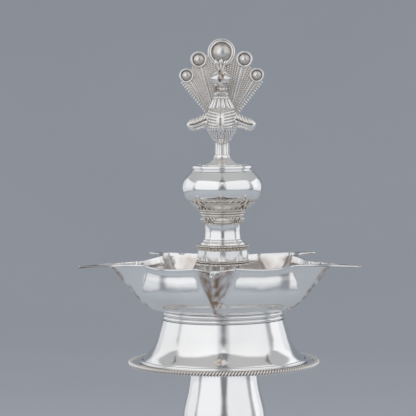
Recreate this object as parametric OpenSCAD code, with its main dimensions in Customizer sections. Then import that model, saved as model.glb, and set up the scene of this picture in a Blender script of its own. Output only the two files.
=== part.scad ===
// Standing oil lamp in polished silver, with five spouts and a peacock finial.
// Spun shells, turned mouldings and castings stand on one upright axis, and
// the sections screw together at five flat seats. The front spout points to -Y.

/* [Silver sheet and wire] */
// Thickness of the sheet of every spun shell
sheet_t = 0.9; // [0.6:0.1:1.2]
// Thickness of the discs that close the sections at their seats
plate_t = 1.2; // [0.9:0.1:1.5]
// Thickness over the twisted wire of the tray and base edges
rope_d = 2.75; // [2:0.25:3.5]

/* [Base] */
// Radius over the rope edge of the base
base_r = 60; // [52:1:70]
// Height from the table to the seat of the stem
base_h = 46; // [40:1:55]
// Thickness of the plate that closes the base below
base_plate_t = 1.2; // [0.8:0.1:2]
// Radius of the moulded collar on top of the base
base_collar_r = 17; // [16.5:0.5:20]
// Height of that collar
base_collar_h = 5; // [4:0.5:7]

/* [Stem] */
// Radius of the moulded foot of the stem
stem_foot_r = 15; // [14:0.5:16]
// Height of that foot
stem_foot_h = 4; // [3:0.5:6]
// Height of the slim spindle above the foot
spindle_h = 30; // [24:1:40]
// Radius of the spindle where it is slimmest
spindle_r = 7.5; // [6.5:0.5:9]
// Greatest radius of the ring knop between spindle and vase
stem_knop_r = 14; // [12:0.5:17]
// Height of the ring knop
stem_knop_h = 14; // [11:1:18]
// Greatest radius of the swelling vase
vase_r = 21.2; // [20:0.4:24]
// Height of the vase up to the seat of the tray
vase_h = 99.5; // [85:0.5:115]

/* [Tray and skirt] */
// Radius over the rope edge of the tray
tray_r = 48; // [46:1:56]
// Thickness of the tray
tray_t = 1; // [0.8:0.1:1.4]
// Radius over the wire ring at the foot of the skirt
skirt_ring_r = 42.6; // [40:0.2:43]
// Thickness of that wire
skirt_wire_d = 1.8; // [1.2:0.2:2.4]
// Height of the flared skirt
skirt_h = 21.5; // [17:0.5:26]
// Radius of the skirt at its top
skirt_top_r = 30.9; // [29:0.5:33]

/* [Oil bowl] */
// Radius of the round wall of the bowl
bowl_r = 44; // [42:1:48]
// Height of the bowl from the collar to the rim
bowl_h = 24.5; // [21:0.5:29]
// Number of spouts
spout_count = 5; // [3:1:6]
// Distance of the spout tips from the axis
spout_reach = 73.5; // [68:0.5:80]
// Distance of the keel's upper end from the axis
keel_reach = 57.6; // [54:0.2:61]
// Half the width of a spout's mouth at the rim
mouth_half_w = 11; // [9:0.5:13]
// How far the rim sags between two spouts
rim_sag = 1; // [0:0.1:1.5]
// How far a spout tip hangs below the rim
lip_drop = 0.7; // [0:0.1:1.5]
// Radius of the double beaded collar below the bowl
collar_r = 30.9; // [29:0.5:32]
// Height of that collar
collar_h = 4.5; // [3.5:0.5:6]
// Radius of the pillar that stands in the bowl
pillar_r = 9; // [8.6:0.2:11]

/* [Drum and neck] */
// Depth of the drum's seat below the rim of the bowl
drum_sink = 2; // [0:0.5:4]
// Radius of the engraved lower flange
lower_flange_r = 14.1; // [13.2:0.1:15.5]
// Height of the lower flange
lower_flange_h = 2.5; // [2:0.1:3.5]
// Radius of the plain drum
drum_r = 12.8; // [12:0.2:13]
// Height of the plain drum
drum_h = 5; // [3.5:0.5:8]
// Radius of the engraved upper flange
upper_flange_r = 13.3; // [13:0.1:15]
// Height of the upper flange
upper_flange_h = 3; // [2:0.1:4]
// Radius of the neck
neck_r = 9.2; // [8.4:0.2:10]
// Height of the flared ring at the foot of the neck
neck_ring_h = 3.5; // [2.5:0.5:5]
// Height of the neck above that ring
neck_h = 6.5; // [5:0.5:10]

/* [Knop] */
// Greatest radius of the knop
knop_r = 20.5; // [19:0.5:23]
// Height of the ringed cone below the knop
cone_h = 13.5; // [11:0.5:17]
// Height of the knop's round shell
bulb_h = 13; // [11:0.5:16]
// Radius of the rolled lip of the cap
cap_r = 15.3; // [14:0.1:16]
// Height of the cap
cap_h = 3; // [2.4:0.2:4]
// Depth of the cap's flat top below its lip
cap_sink = 0.4; // [0.2:0.1:0.8]

/* [Peacock finial] */
// Radius of the trumpet foot where it stands on the cap
finial_foot_r = 10.5; // [9:0.5:12]
// Height of the trumpet foot
finial_foot_h = 5.4; // [4.5:0.1:7]
// Radius of the post under the bird
post_r = 3.8; // [3.4:0.1:4.5]
// Height of post and torso, from the foot to the root of the neck
torso_h = 23.5; // [20:0.5:28]
// Width of the torso
torso_w = 15.8; // [14:0.2:18]
// Depth of the torso from breast to back
torso_d = 15.6; // [13:0.2:18]
// Height of neck and head together
head_h = 20; // [17:0.5:23]
// Width of the head
head_w = 9.2; // [8:0.2:11]
// Distance between the tips of the two wings
wing_span = 34.4; // [30:0.2:38]
// Width of the fan between the centres of its lowest eyes
fan_w = 35.2; // [32:0.2:40]
// Height of the fan from its lower edge to the centre of its top eye
fan_h = 29.5; // [27:0.5:33]
// Thickness of the fan plate
fan_t = 1.4; // [1:0.1:2]
// Distance of the fan's front face behind the axis
fan_back = 2; // [1:0.2:3]
// Radius of the top eye
top_eye_r = 6.9; // [6:0.1:7.5]
// Radius of the two eyes next to it
side_eye_r = 4.1; // [3.5:0.1:4.5]
// Radius of the two lowest eyes
low_eye_r = 3.6; // [3:0.1:4]
// Thickness of the eye discs
eye_t = 1.3; // [0.8:0.1:2]
// Thickness of the beads along the fan's edges
bead_d = 1.5; // [1.1:0.1:2]

/* [Screwed seats] */
// Radius of the studs of stem, tray and bowl
stud_r = 4; // [3.4:0.2:4.4]
// Radius of the stud under the drum
drum_stud_r = 3; // [2.6:0.2:3.4]
// Radius of the stud under the finial
finial_stud_r = 2.4; // [2:0.1:2.7]
// Length of a stud below its seat
stud_l = 9; // [7:0.5:11]
// Radial wall of a threaded bush
bush_wall = 2.2; // [1.6:0.2:2.6]
// Width of the ring by which a bush or a stud is soldered in
solder_ring_w = 2; // [1.2:0.2:2.4]
// Thickness of that ring
solder_ring_t = 1.4; // [1:0.1:1.8]
// Radial clearance between a stud and what it passes through
thread_gap = 0.05; // [0.02:0.01:0.08]

/* [Hidden] */
$fn = 96;

silver = [0.86, 0.87, 0.89];
chased_silver = [0.78, 0.76, 0.75];
inner_brass = [0.80, 0.66, 0.36];

// Narrow gap that solder fills between a disc or bush and the wall round it
solder_gap = 0.05;
// How far a cutting shape reaches past the face that it cuts
overrun = 0.5;

// Heights of the seats and of the main levels, from the table up
dome_top = base_h - base_collar_h;
foot_top = base_h + stem_foot_h;
spindle_top = foot_top + spindle_h;
vase_foot = spindle_top + stem_knop_h;
tray_seat = vase_foot + vase_h;
tray_top = tray_seat + tray_t;
bowl_seat = tray_top + skirt_h;
collar_top = bowl_seat + collar_h;
rim_z = collar_top + bowl_h;
drum_seat = rim_z - drum_sink;
lower_flange_top = drum_seat + lower_flange_h;
drum_top = lower_flange_top + drum_h;
upper_flange_top = drum_top + upper_flange_h;
neck_foot = upper_flange_top + neck_ring_h;
neck_top = neck_foot + neck_h;
cone_top = neck_top + cone_h;
bulb_top = cone_top + bulb_h;
cap_top = bulb_top + cap_h;
finial_seat = cap_top - cap_sink;
post_z = finial_seat + finial_foot_h;
neck_root = post_z + torso_h;

function mix(a, b, share) = a + (b - a) * share;
function unit(v) = v / norm(v);
function polar(r, a) = [r * cos(a), r * sin(a)];
function turned(p, a) = [p[0] * cos(a) - p[1] * sin(a), p[0] * sin(a) + p[1] * cos(a)];

// A smooth curve through a list of points, with a number of steps between two of them
function curve_point(a, b, c, d, t) =
    0.5 * (2 * b + (c - a) * t + (2 * a - 5 * b + 4 * c - d) * t * t + (3 * b - a - 3 * c + d) * t * t * t);
function smooth(points, steps) =
    let(last = len(points) - 1)
    concat(
        [
            for (i = [0 : last - 1])
                for (s = [0 : steps - 1])
                    curve_point(
                        points[max(0, i - 1)],
                        points[i],
                        points[i + 1],
                        points[min(last, i + 2)],
                        s / steps
                    )
        ],
        [points[last]]
    );

// An outline of shares [radius, height] set between two radii and two heights
function placed(shares, r0, r1, z0, z1) =
    [for (s = shares) [mix(r0, r1, s[0]), mix(z0, z1, s[1])]];

// The inner face of a sheet whose outer face runs upwards, level at both ends
function inward(path, i) =
    let(last = len(path) - 1, along = unit(path[min(last, i + 1)] - path[max(0, i - 1)]))
    i == 0 || i == last ? [-1, 0] : [-along[1], along[0]];
function inner_face(path, t) =
    [for (i = [len(path) - 1 : -1 : 0]) path[i] + t * inward(path, i)];

// A spun shell with the given outer outline
module spun(path) {
    rotate_extrude()
        polygon(concat(path, inner_face(path, sheet_t)));
}

// A ring of round wire that lies on the level z, r over all
module wire_ring(r, wire_d, z) {
    translate([0, 0, z + wire_d / 2])
        rotate_extrude()
            translate([r - wire_d / 2, 0])
                circle(d = wire_d, $fn = 48);
}

// A disc from z upwards with a round hole
module holed_disc(r, hole_r, z, t) {
    translate([0, 0, z])
        difference() {
            cylinder(r = r, h = t);
            translate([0, 0, -overrun])
                cylinder(r = hole_r, h = t + 2 * overrun);
        }
}

// A threaded bush: its mouth is level with the seat, its ring is under the plate
module bush(seat, through, bore_r) {
    outer_r = bore_r + bush_wall;
    depth = stud_l + solder_ring_t;
    translate([0, 0, seat])
        difference() {
            union() {
                translate([0, 0, -depth])
                    cylinder(r = outer_r, h = depth);
                translate([0, 0, -through - solder_ring_t])
                    cylinder(r = outer_r + solder_ring_w, h = solder_ring_t);
            }
            translate([0, 0, -depth - overrun])
                cylinder(r = bore_r + thread_gap, h = depth + 2 * overrun);
        }
}

// A stud: it hangs through the plate above the seat and its ring lies on that plate
module stud(seat, through, r) {
    translate([0, 0, seat - stud_l])
        cylinder(r = r, h = stud_l + through);
    translate([0, 0, seat + through])
        cylinder(r = r + solder_ring_w, h = solder_ring_t);
}

// Radius of the hole that a bush for a stud of radius r sits in
function bush_hole(r) = r + bush_wall + solder_gap;
function stud_hole(r) = r + thread_gap;

// A closed solid through oval rings. A section is [height, half width, half depth,
// forward, sideways, back], and no point of it lies further back than the level back.
function oval(section, sides) = [
    for (i = [0 : sides - 1])
        let(a = 360 * i / sides)
        [
            section[4] + section[1] * cos(a),
            min(section[5], section[2] * sin(a) - section[3]),
            section[0]
        ]
];
module loft(sections, sides) {
    last = len(sections) - 1;
    points = [for (s = sections) each oval(s, sides)];
    walls = [
        for (r = [0 : last - 1])
            for (i = [0 : sides - 1])
                let(a = r * sides + i, b = r * sides + (i + 1) % sides)
                each [[a, a + sides, b + sides], [a, b + sides, b]]
    ];
    foot = [for (i = [0 : sides - 1]) i];
    head = [for (i = [sides - 1 : -1 : 0]) last * sides + i];
    polyhedron(points = points, faces = concat([foot, head], walls), convexity = 8);
}

// Base

module base_plate() {
    color(silver)
        cylinder(r = base_r - rope_d / 2, h = base_plate_t);
}

dome_shares = [
    [0.997, 0], [0.997, 0.06], [0.985, 0.09], [0.93, 0.11], [0.9, 0.13], [0.89, 0.17], [0.84, 0.24],
    [0.72, 0.33], [0.56, 0.43], [0.42, 0.54], [0.32, 0.67], [0.27, 0.82], [0.262, 1]
];
module base_dome() {
    rim_r = base_r - rope_d;
    color(silver)
        spun(smooth(placed(dome_shares, 0, rim_r, base_plate_t, dome_top), 3));
}

module base_rope() {
    color(chased_silver)
        wire_ring(base_r, rope_d, base_plate_t);
}

// Outline shares [radius, height] of a moulding with two beads and a groove
moulding_shares = [
    [0.93, 0], [0.98, 0.08], [1, 0.2], [1, 0.32], [0.98, 0.42], [0.92, 0.48], [0.92, 0.54],
    [0.96, 0.6], [0.98, 0.72], [0.97, 0.88], [0.92, 1]
];
module moulding(r, hole_r, z, h) {
    outline = placed(moulding_shares, 0, r, z, z + h);
    color(silver)
        rotate_extrude()
            polygon(concat(outline, [[hole_r, z + h], [hole_r, z]]));
}

module base_collar() {
    moulding(base_collar_r, bush_hole(stud_r), dome_top, base_collar_h);
}

module base_bush() {
    color(inner_brass)
        bush(base_h, base_collar_h, stud_r);
}

// Stem

module stem_stud() {
    color(inner_brass)
        stud(base_h, stem_foot_h, stud_r);
}

module stem_foot() {
    moulding(stem_foot_r, stud_hole(stud_r), base_h, stem_foot_h);
}

// Radius of the spindle where it stands on the foot, as a share of the foot's
spindle_foot_share = 0.86;
spindle_shares = [
    [1, 0], [0.96, 0.04], [0.7, 0.1], [0.4, 0.2], [0.14, 0.36], [0, 0.58], [0.06, 0.78], [0.3, 1]
];
module stem_spindle() {
    outline = placed(spindle_shares, spindle_r, stem_foot_r * spindle_foot_share, foot_top, spindle_top);
    color(silver)
        spun(smooth(outline, 3));
}

stem_knop_shares = [
    [0.68, 0], [0.74, 0.04], [0.74, 0.11], [0.67, 0.16], [0.86, 0.24], [0.97, 0.36], [1, 0.5],
    [0.97, 0.64], [0.86, 0.76], [0.66, 0.84], [0.7, 0.88], [0.7, 0.95], [0.62, 1]
];
// Share of the knop's radius that its bore takes
knop_bore_share = 0.42;
module stem_knop() {
    outline = placed(stem_knop_shares, 0, stem_knop_r, spindle_top, vase_foot);
    bore_r = stem_knop_r * knop_bore_share;
    color(silver)
        rotate_extrude()
            polygon(concat(outline, [[bore_r, vase_foot], [bore_r, spindle_top]]));
}

vase_shares = [
    [0.38, 0], [0.36, 0.06], [0.405, 0.16], [0.51, 0.26], [0.645, 0.36], [0.785, 0.455],
    [0.905, 0.555], [0.985, 0.65], [1, 0.7], [0.976, 0.757], [0.925, 0.807], [0.866, 0.858],
    [0.82, 0.92], [0.797, 1]
];
vase_top_r = vase_r * vase_shares[len(vase_shares) - 1][0];
module stem_vase() {
    color(silver)
        spun(smooth(placed(vase_shares, 0, vase_r, vase_foot, tray_seat), 3));
}

module stem_top_plate() {
    color(silver)
        holed_disc(vase_top_r - sheet_t - solder_gap, bush_hole(stud_r), tray_seat - plate_t, plate_t);
}

module stem_bush() {
    color(inner_brass)
        bush(tray_seat, plate_t, stud_r);
}

// Tray and skirt

module tray_stud() {
    color(inner_brass)
        stud(tray_seat, tray_t, stud_r);
}

module tray_plate() {
    color(silver)
        holed_disc(tray_r - rope_d, stud_hole(stud_r), tray_seat, tray_t);
}

module tray_rope() {
    color(chased_silver)
        wire_ring(tray_r, rope_d, tray_seat + (tray_t - rope_d) / 2);
}

module skirt_ring() {
    color(silver)
        wire_ring(skirt_ring_r, skirt_wire_d, tray_top);
}

// Shares [from top radius to foot radius, height] of the concave flare
skirt_shares = [
    [1, 0], [0.97, 0.06], [0.86, 0.13], [0.65, 0.237], [0.5, 0.33], [0.39, 0.42], [0.27, 0.56],
    [0.18, 0.71], [0.09, 0.85], [0, 1]
];
module skirt() {
    foot_r = skirt_ring_r - skirt_wire_d;
    color(silver)
        spun(smooth(placed(skirt_shares, skirt_top_r, foot_r, tray_top, bowl_seat), 3));
}

module skirt_top_plate() {
    color(silver)
        holed_disc(skirt_top_r - sheet_t - solder_gap, bush_hole(stud_r), bowl_seat - plate_t, plate_t);
}

module skirt_bush() {
    color(inner_brass)
        bush(bowl_seat, plate_t, stud_r);
}

// Oil bowl

module bowl_stud() {
    color(inner_brass)
        stud(bowl_seat, plate_t, stud_r);
}

// Two half-round beads one above the other, over a plain ring
bead_rise_share = 0.24;
bead_steps = 10;
module bowl_collar() {
    ring_r = collar_r - collar_h * bead_rise_share;
    beads = [
        for (b = [0, 1])
            for (i = [0 : bead_steps])
                let(a = 180 * i / bead_steps - 90)
                [
                    ring_r + collar_h * bead_rise_share * cos(a),
                    bowl_seat + collar_h * (1 + 2 * b + sin(a)) / 4
                ]
    ];
    bore_r = ring_r - 2 * sheet_t;
    // The two beads share the point where they meet
    outline = [for (i = [0 : len(beads) - 1]) if (i != bead_steps) beads[i]];
    color(silver)
        rotate_extrude()
            polygon(concat(outline, [[bore_r, collar_top], [bore_r, bowl_seat]]));
}

module collar_plate() {
    bore_r = collar_r - collar_h * bead_rise_share - 2 * sheet_t;
    color(silver)
        holed_disc(bore_r - solder_gap, stud_hole(stud_r), bowl_seat, plate_t);
}

// Levels of the bowl's wall: shares [height, wall radius, keel distance]
bowl_shares = [
    [0, 0.693, 0.56], [0.035, 0.755, 0.612], [0.08, 0.812, 0.655], [0.14, 0.868, 0.693],
    [0.21, 0.916, 0.727], [0.3, 0.957, 0.767], [0.42, 0.985, 0.813], [0.56, 0.996, 0.862],
    [0.7, 0.999, 0.912], [0.85, 1, 0.962], [0.96, 1, 1]
];
// Shares of a lip's outline: [reach past the wall, half width of the mouth]
lip_shares = [[1, 0], [0.97, 0.085], [0.7, 0.18], [0.45, 0.31], [0.22, 0.58]];
// Half width of the ridge where the keel only just stands out, as a share of the mouth
ridge_share = 0.25;
// How far the rim is wider than the wall, in sheet thicknesses
rim_flange_share = 0.55;
// How much further in the keel's inner line lies, in sheet thicknesses
keel_inset_share = 1.7;
flank_steps = len(lip_shares);
panel_steps = 12;
front_angle = -90;

// Half width of the prow at a level where it stands out by the given distance
function prow_half_w(out) =
    mouth_half_w * (ridge_share + (1 - ridge_share) * out / (keel_reach - bowl_r));

// Points [distance along the spout, half width] from the keel to the round wall
function prow_side(wall_r, keel_r) =
    let(half_w = prow_half_w(max(0, keel_r - wall_r)), root = sqrt(wall_r * wall_r - half_w * half_w))
    [for (k = [0 : flank_steps]) [mix(keel_r, root, k / flank_steps), half_w * k / flank_steps]];
function lip_side(wall_r) =
    let(root = sqrt(wall_r * wall_r - mouth_half_w * mouth_half_w))
    concat(
        [for (s = lip_shares) [mix(bowl_r, spout_reach, s[0]), mouth_half_w * s[1]]],
        [[root, mouth_half_w]]
    );

// One closed ring round the bowl: z is its level at the spouts, sag its dip between them
function lip_z(z, reach) = z - lip_drop * max(0, reach - keel_reach) / (spout_reach - keel_reach);
function bowl_ring(side, wall_r, z, sag) =
    let(step = 360 / spout_count, edge = side[flank_steps], edge_a = atan2(edge[1], edge[0]))
    [
        for (n = [0 : spout_count - 1])
            let(a0 = front_angle + n * step)
            each concat(
                [for (k = [0 : flank_steps]) [each turned(side[k], a0), lip_z(z, side[k][0])]],
                [
                    for (j = [1 : panel_steps - 1])
                        let(share = j / panel_steps)
                        [
                            each polar(wall_r, a0 + mix(edge_a, step - edge_a, share)),
                            z - sag * sin(180 * share)
                        ]
                ],
                [
                    for (k = [flank_steps : -1 : 1])
                        [each turned([side[k][0], -side[k][1]], a0 + step), lip_z(z, side[k][0])]
                ]
            )
    ];

function outer_ring(s) =
    bowl_ring(
        prow_side(bowl_r * s[1], keel_reach * s[2]),
        bowl_r * s[1],
        mix(collar_top, rim_z, s[0]),
        rim_sag * s[0] * s[0]
    );
function inner_ring(s, height_share) =
    let(wall_r = bowl_r * s[1] - sheet_t, keel_r = keel_reach * s[2] - sheet_t * keel_inset_share)
    bowl_ring(
        prow_side(wall_r, max(wall_r, keel_r)),
        wall_r,
        mix(collar_top + sheet_t, rim_z, height_share),
        rim_sag * height_share * height_share
    );

module oil_bowl() {
    flange_r = bowl_r + sheet_t * rim_flange_share;
    top = len(bowl_shares) - 1;
    under_z = mix(collar_top, rim_z, bowl_shares[top][0]);
    rings = concat(
        [for (s = bowl_shares) outer_ring(s)],
        [
            bowl_ring(lip_side(flange_r), flange_r, under_z, rim_sag * pow(bowl_shares[top][0], 2)),
            bowl_ring(lip_side(flange_r), flange_r, rim_z, rim_sag),
            inner_ring(bowl_shares[top], 1)
        ],
        [for (i = [top - 1 : -1 : 0]) inner_ring(bowl_shares[i], bowl_shares[i][0])]
    );
    n = len(rings[0]);
    last = len(rings) - 1;
    points = concat(
        [for (ring = rings) each ring],
        [[0, 0, collar_top], [0, 0, collar_top + sheet_t]]
    );
    below = len(points) - 2;
    walls = [
        for (r = [0 : last - 1])
            for (i = [0 : n - 1])
                let(a = r * n + i, b = r * n + (i + 1) % n)
                each [[a, a + n, b + n], [a, b + n, b]]
    ];
    floors = [
        for (i = [0 : n - 1])
            let(j = (i + 1) % n)
            each [[below, i, j], [below + 1, last * n + j, last * n + i]]
    ];
    color(silver)
        polyhedron(points = points, faces = concat(walls, floors), convexity = 12);
}

// Shares [from pillar to its foot, height] of the pillar's outline
pillar_shares = [[1, 0], [1, 0.04], [0.5, 0.09], [0.1, 0.16], [0, 0.28], [0, 1]];
pillar_foot_share = 1.3;
module bowl_pillar() {
    foot_r = pillar_r * pillar_foot_share;
    outline = placed(pillar_shares, pillar_r, foot_r, collar_top + sheet_t, drum_seat);
    color(silver)
        spun(outline);
}

module pillar_top_plate() {
    color(silver)
        holed_disc(pillar_r - sheet_t - solder_gap, bush_hole(drum_stud_r), drum_seat - plate_t, plate_t);
}

module pillar_bush() {
    color(inner_brass)
        bush(drum_seat, plate_t, drum_stud_r);
}

// Drum, neck and knop

module drum_stud() {
    color(inner_brass)
        stud(drum_seat, lower_flange_h, drum_stud_r);
}

// Outline shares [radius, height] of the lower flange and of the upper one
lower_flange_shares = [
    [0.94, 0], [0.985, 0.08], [1, 0.25], [0.99, 0.45], [0.955, 0.6], [0.96, 0.72], [0.95, 0.88], [0.92, 1]
];
upper_flange_shares = [
    [0.94, 0], [0.965, 0.08], [0.965, 0.2], [0.945, 0.28], [0.975, 0.45], [1, 0.7], [0.99, 0.9], [0.95, 1]
];
module drum_lower_flange() {
    outline = placed(lower_flange_shares, 0, lower_flange_r, drum_seat, lower_flange_top);
    hole_r = stud_hole(drum_stud_r);
    color(chased_silver)
        rotate_extrude()
            polygon(concat(outline, [[hole_r, lower_flange_top], [hole_r, drum_seat]]));
}

module drum_shell() {
    color(silver)
        spun([[drum_r, lower_flange_top], [drum_r, drum_top]]);
}

// Share of the neck's radius that is left open through the upper flange
flange_bore_share = 0.6;
module drum_upper_flange() {
    outline = placed(upper_flange_shares, 0, upper_flange_r, drum_top, upper_flange_top);
    bore_r = neck_r * flange_bore_share;
    color(chased_silver)
        rotate_extrude()
            polygon(concat(outline, [[bore_r, upper_flange_top], [bore_r, drum_top]]));
}

// Shares [past the neck's radius, height] of the flared ring
neck_ring_shares = [[0.24, 0], [0.25, 0.1], [0.2, 0.3], [0.11, 0.48], [0.1, 0.62], [0.03, 0.76], [0, 1]];
module neck_ring() {
    color(silver)
        spun(placed(neck_ring_shares, neck_r, 2 * neck_r, upper_flange_top, neck_foot));
}

// The neck is a little waisted: shares [of the waist, height]
neck_shares = [[0, 0], [0.6, 0.25], [1, 0.5], [0.6, 0.8], [0, 1]];
neck_waist_share = 0.97;
module neck_tube() {
    color(silver)
        spun(smooth(placed(neck_shares, neck_r, neck_r * neck_waist_share, neck_foot, neck_top), 3));
}

// Shares [from neck to bulb, height] of the rings and hollows under the knop
cone_shares = [
    [0, 0], [0.04, 0.03], [0.05, 0.07], [0.1, 0.12], [0.17, 0.2], [0.19, 0.27], [0.17, 0.3],
    [0.23, 0.33], [0.25, 0.36], [0.22, 0.4], [0.3, 0.43], [0.33, 0.46], [0.3, 0.5], [0.42, 0.55],
    [0.47, 0.61], [0.54, 0.69], [0.67, 0.78], [0.82, 0.87], [0.94, 0.95], [1, 1]
];
cone_inner_shares = [[1, 1], [0.5, 0.72], [0.31, 0.52], [0.15, 0.31], [0, 0]];
bulb_shares = [
    [0.927, 0], [0.965, 0.12], [0.99, 0.25], [1, 0.4], [0.985, 0.55], [0.945, 0.7], [0.88, 0.82],
    [0.81, 0.93], [0.765, 1]
];
bulb_foot_r = knop_r * bulb_shares[0][0];
module knop_cone() {
    outer = placed(cone_shares, neck_r, bulb_foot_r, neck_top, cone_top);
    inner = placed(cone_inner_shares, neck_r - sheet_t, bulb_foot_r - sheet_t, neck_top, cone_top);
    color(chased_silver)
        rotate_extrude()
            polygon(concat(outer, inner));
}

module knop_bulb() {
    color(silver)
        spun(smooth(placed(bulb_shares, 0, knop_r, cone_top, bulb_top), 3));
}

// Outline shares [radius, height] of the cap, from the fine rim below to the rolled lip
cap_shares = [
    [1, 0], [1.03, 0.05], [1.04, 0.12], [1.03, 0.19], [0.975, 0.24], [0.955, 0.32], [0.975, 0.4],
    [0.995, 0.5], [1, 0.66], [0.995, 0.84], [0.98, 0.96], [0.95, 1], [0.92, 0.97]
];
module knop_cap() {
    outline = placed(cap_shares, 0, cap_r, bulb_top, cap_top);
    inner_lip_r = cap_r * cap_shares[len(cap_shares) - 1][0] - cap_sink;
    hole_r = bush_hole(finial_stud_r);
    inner = [[inner_lip_r, finial_seat], [hole_r, finial_seat], [hole_r, bulb_top]];
    color(silver)
        rotate_extrude()
            polygon(concat(outline, inner));
}

module cap_bush() {
    color(inner_brass)
        bush(finial_seat, finial_seat - bulb_top, finial_stud_r);
}

// Peacock finial

// The upper end of the stud is a plain pin in the foot's blind bore
pin_share = 0.8;
module finial_stud() {
    color(inner_brass)
        translate([0, 0, finial_seat - stud_l])
            cylinder(r = finial_stud_r, h = stud_l + finial_foot_h * pin_share);
}

// Shares [from post to foot, height] of the trumpet foot
trumpet_shares = [[1, 0], [1, 0.12], [0.82, 0.2], [0.5, 0.34], [0.24, 0.54], [0.08, 0.78], [0, 1]];
module finial_foot() {
    outline = placed(trumpet_shares, post_r, finial_foot_r, finial_seat, post_z);
    pin_top = finial_seat + finial_foot_h * pin_share;
    hole_r = stud_hole(finial_stud_r);
    inner = [[0, post_z], [0, pin_top], [hole_r, pin_top], [hole_r, finial_seat]];
    color(silver)
        rotate_extrude()
            polygon(concat(outline, inner));
}

// Sections of the torso: shares [height, half width, half depth, forward]
torso_shares = [
    [0, 0.48, 0.487, 0], [0.23, 0.47, 0.475, 0], [0.29, 0.52, 0.54, 0.03], [0.39, 0.69, 0.7, 0.09],
    [0.51, 0.88, 0.88, 0.16], [0.61, 0.97, 0.97, 0.21], [0.75, 0.98, 0.96, 0.23],
    [0.89, 0.93, 0.82, 0.19], [1, 0.84, 0.58, 0.15]
];
bird_sides = 28;
// The torso's back is flat from this share of its height up, where the fan leans on it
flat_back_share = 0.6;
module torso() {
    half_w = torso_w / 2;
    half_d = torso_d / 2;
    sections = [
        for (s = torso_shares)
            [
                post_z + torso_h * s[0],
                half_w * s[1],
                half_d * s[2],
                half_d * s[3],
                0,
                s[0] > flat_back_share ? fan_back : half_d
            ]
    ];
    loft(sections, bird_sides);
}

module peacock_body() {
    color(silver)
        torso();
}

// Sections of neck and head: shares [height, half width, half depth, forward]
head_shares = [
    [0, 1.37, 0.95, 0.25], [0.06, 1.24, 0.92, 0.29], [0.15, 1.04, 0.84, 0.36], [0.25, 0.83, 0.76, 0.46],
    [0.35, 0.72, 0.7, 0.55], [0.46, 0.74, 0.73, 0.64], [0.56, 0.84, 0.82, 0.72], [0.66, 0.98, 0.92, 0.79],
    [0.75, 1.1, 0.94, 0.82], [0.84, 0.9, 0.84, 0.8], [0.93, 0.56, 0.56, 0.75], [1, 0.22, 0.25, 0.7]
];
// The beak: its length, its radius at the root and how far forward it starts are shares
// of the head's width, its tip is a share of its root, and its level one of the head's height
beak_l_share = 0.62;
beak_r_share = 0.17;
beak_out_share = 0.8;
beak_tip_share = 0.2;
beak_z_share = 0.68;
beak_tilt = 25;
module head() {
    half_w = head_w / 2;
    sections = [
        for (s = head_shares)
            [neck_root + head_h * s[0], half_w * s[1], half_w * s[2], half_w * s[3], 0, fan_back]
    ];
    loft(sections, bird_sides);
}

module peacock_head() {
    color(silver) {
        head();
        beak_r = head_w * beak_r_share;
        translate([0, -head_w * beak_out_share, neck_root + head_h * beak_z_share])
            rotate([90 + beak_tilt, 0, 0])
                cylinder(r1 = beak_r, r2 = beak_r * beak_tip_share, h = head_w * beak_l_share, $fn = 24);
    }
}

// Three feather stalks with a bead each, fanned out over the head. They start inside it
// at a share of its height; the other shares are of its width.
crest_tilt = 24;
crest_root_share = 0.86;
crest_out_share = 0.37;
crest_l_share = 0.42;
crest_stalk_share = 0.045;
crest_bead_share = 0.1;
module peacock_crest() {
    crest_root = neck_root + head_h * crest_root_share;
    length = head_w * crest_l_share + head_h * (1 - crest_root_share);
    color(silver)
        difference() {
            translate([0, -head_w * crest_out_share, crest_root])
                for (side = [-1, 0, 1])
                    rotate([0, side * crest_tilt, 0]) {
                        cylinder(r = head_w * crest_stalk_share, h = length, $fn = 24);
                        translate([0, 0, length])
                            sphere(r = head_w * crest_bead_share, $fn = 24);
                    }
            head();
        }
}

// Sections of a wing from its root to its tip: shares [out, half height, half depth,
// forward, height of its middle], of the half span and of the wing's height
wing_shares = [
    [0.26, 0.62, 0.46, 0.1, 0.58], [0.4, 0.54, 0.42, 0.12, 0.66], [0.47, 0.48, 0.38, 0.14, 0.7],
    [0.6, 0.4, 0.32, 0.2, 0.6], [0.75, 0.385, 0.29, 0.26, 0.48], [0.88, 0.36, 0.25, 0.3, 0.44],
    [0.95, 0.24, 0.18, 0.32, 0.45], [1, 0.09, 0.08, 0.33, 0.46]
];
wing_h_share = 0.36;
wing_foot_share = 0.48;
wing_sides = 20;
module wing() {
    wing_h = torso_h * wing_h_share;
    wing_z = post_z + torso_h * wing_foot_share;
    sections = [
        for (s = wing_shares)
            [
                wing_span / 2 * s[0],
                wing_h * s[1],
                wing_h * s[2],
                wing_h * s[3],
                -wing_z - wing_h * s[4],
                fan_back
            ]
    ];
    color(silver)
        difference() {
            rotate([0, 90, 0])
                loft(sections, wing_sides);
            torso();
        }
}

module left_wing() {
    mirror([1, 0, 0])
        wing();
}

module right_wing() {
    wing();
}

// The fan stands upright behind the bird. Places on it are [sideways, height], with
// shares of its width and of its height. It starts below the neck's root by a share of a bead.
fan_drop_share = 1.2;
side_eye_shares = [0.325, 0.88];
low_eye_shares = [0.5, 0.61];
fan_root_z = neck_root - bead_d * fan_drop_share;
top_eye = [0, fan_root_z + fan_h];
side_eye = [fan_w * side_eye_shares[0], fan_root_z + fan_h * side_eye_shares[1]];
low_eye = [fan_w * low_eye_shares[0], fan_root_z + fan_h * low_eye_shares[1]];
eye_list = [
    [top_eye, top_eye_r],
    [side_eye, side_eye_r],
    [[-side_eye[0], side_eye[1]], side_eye_r],
    [low_eye, low_eye_r],
    [[-low_eye[0], low_eye[1]], low_eye_r]
];
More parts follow.
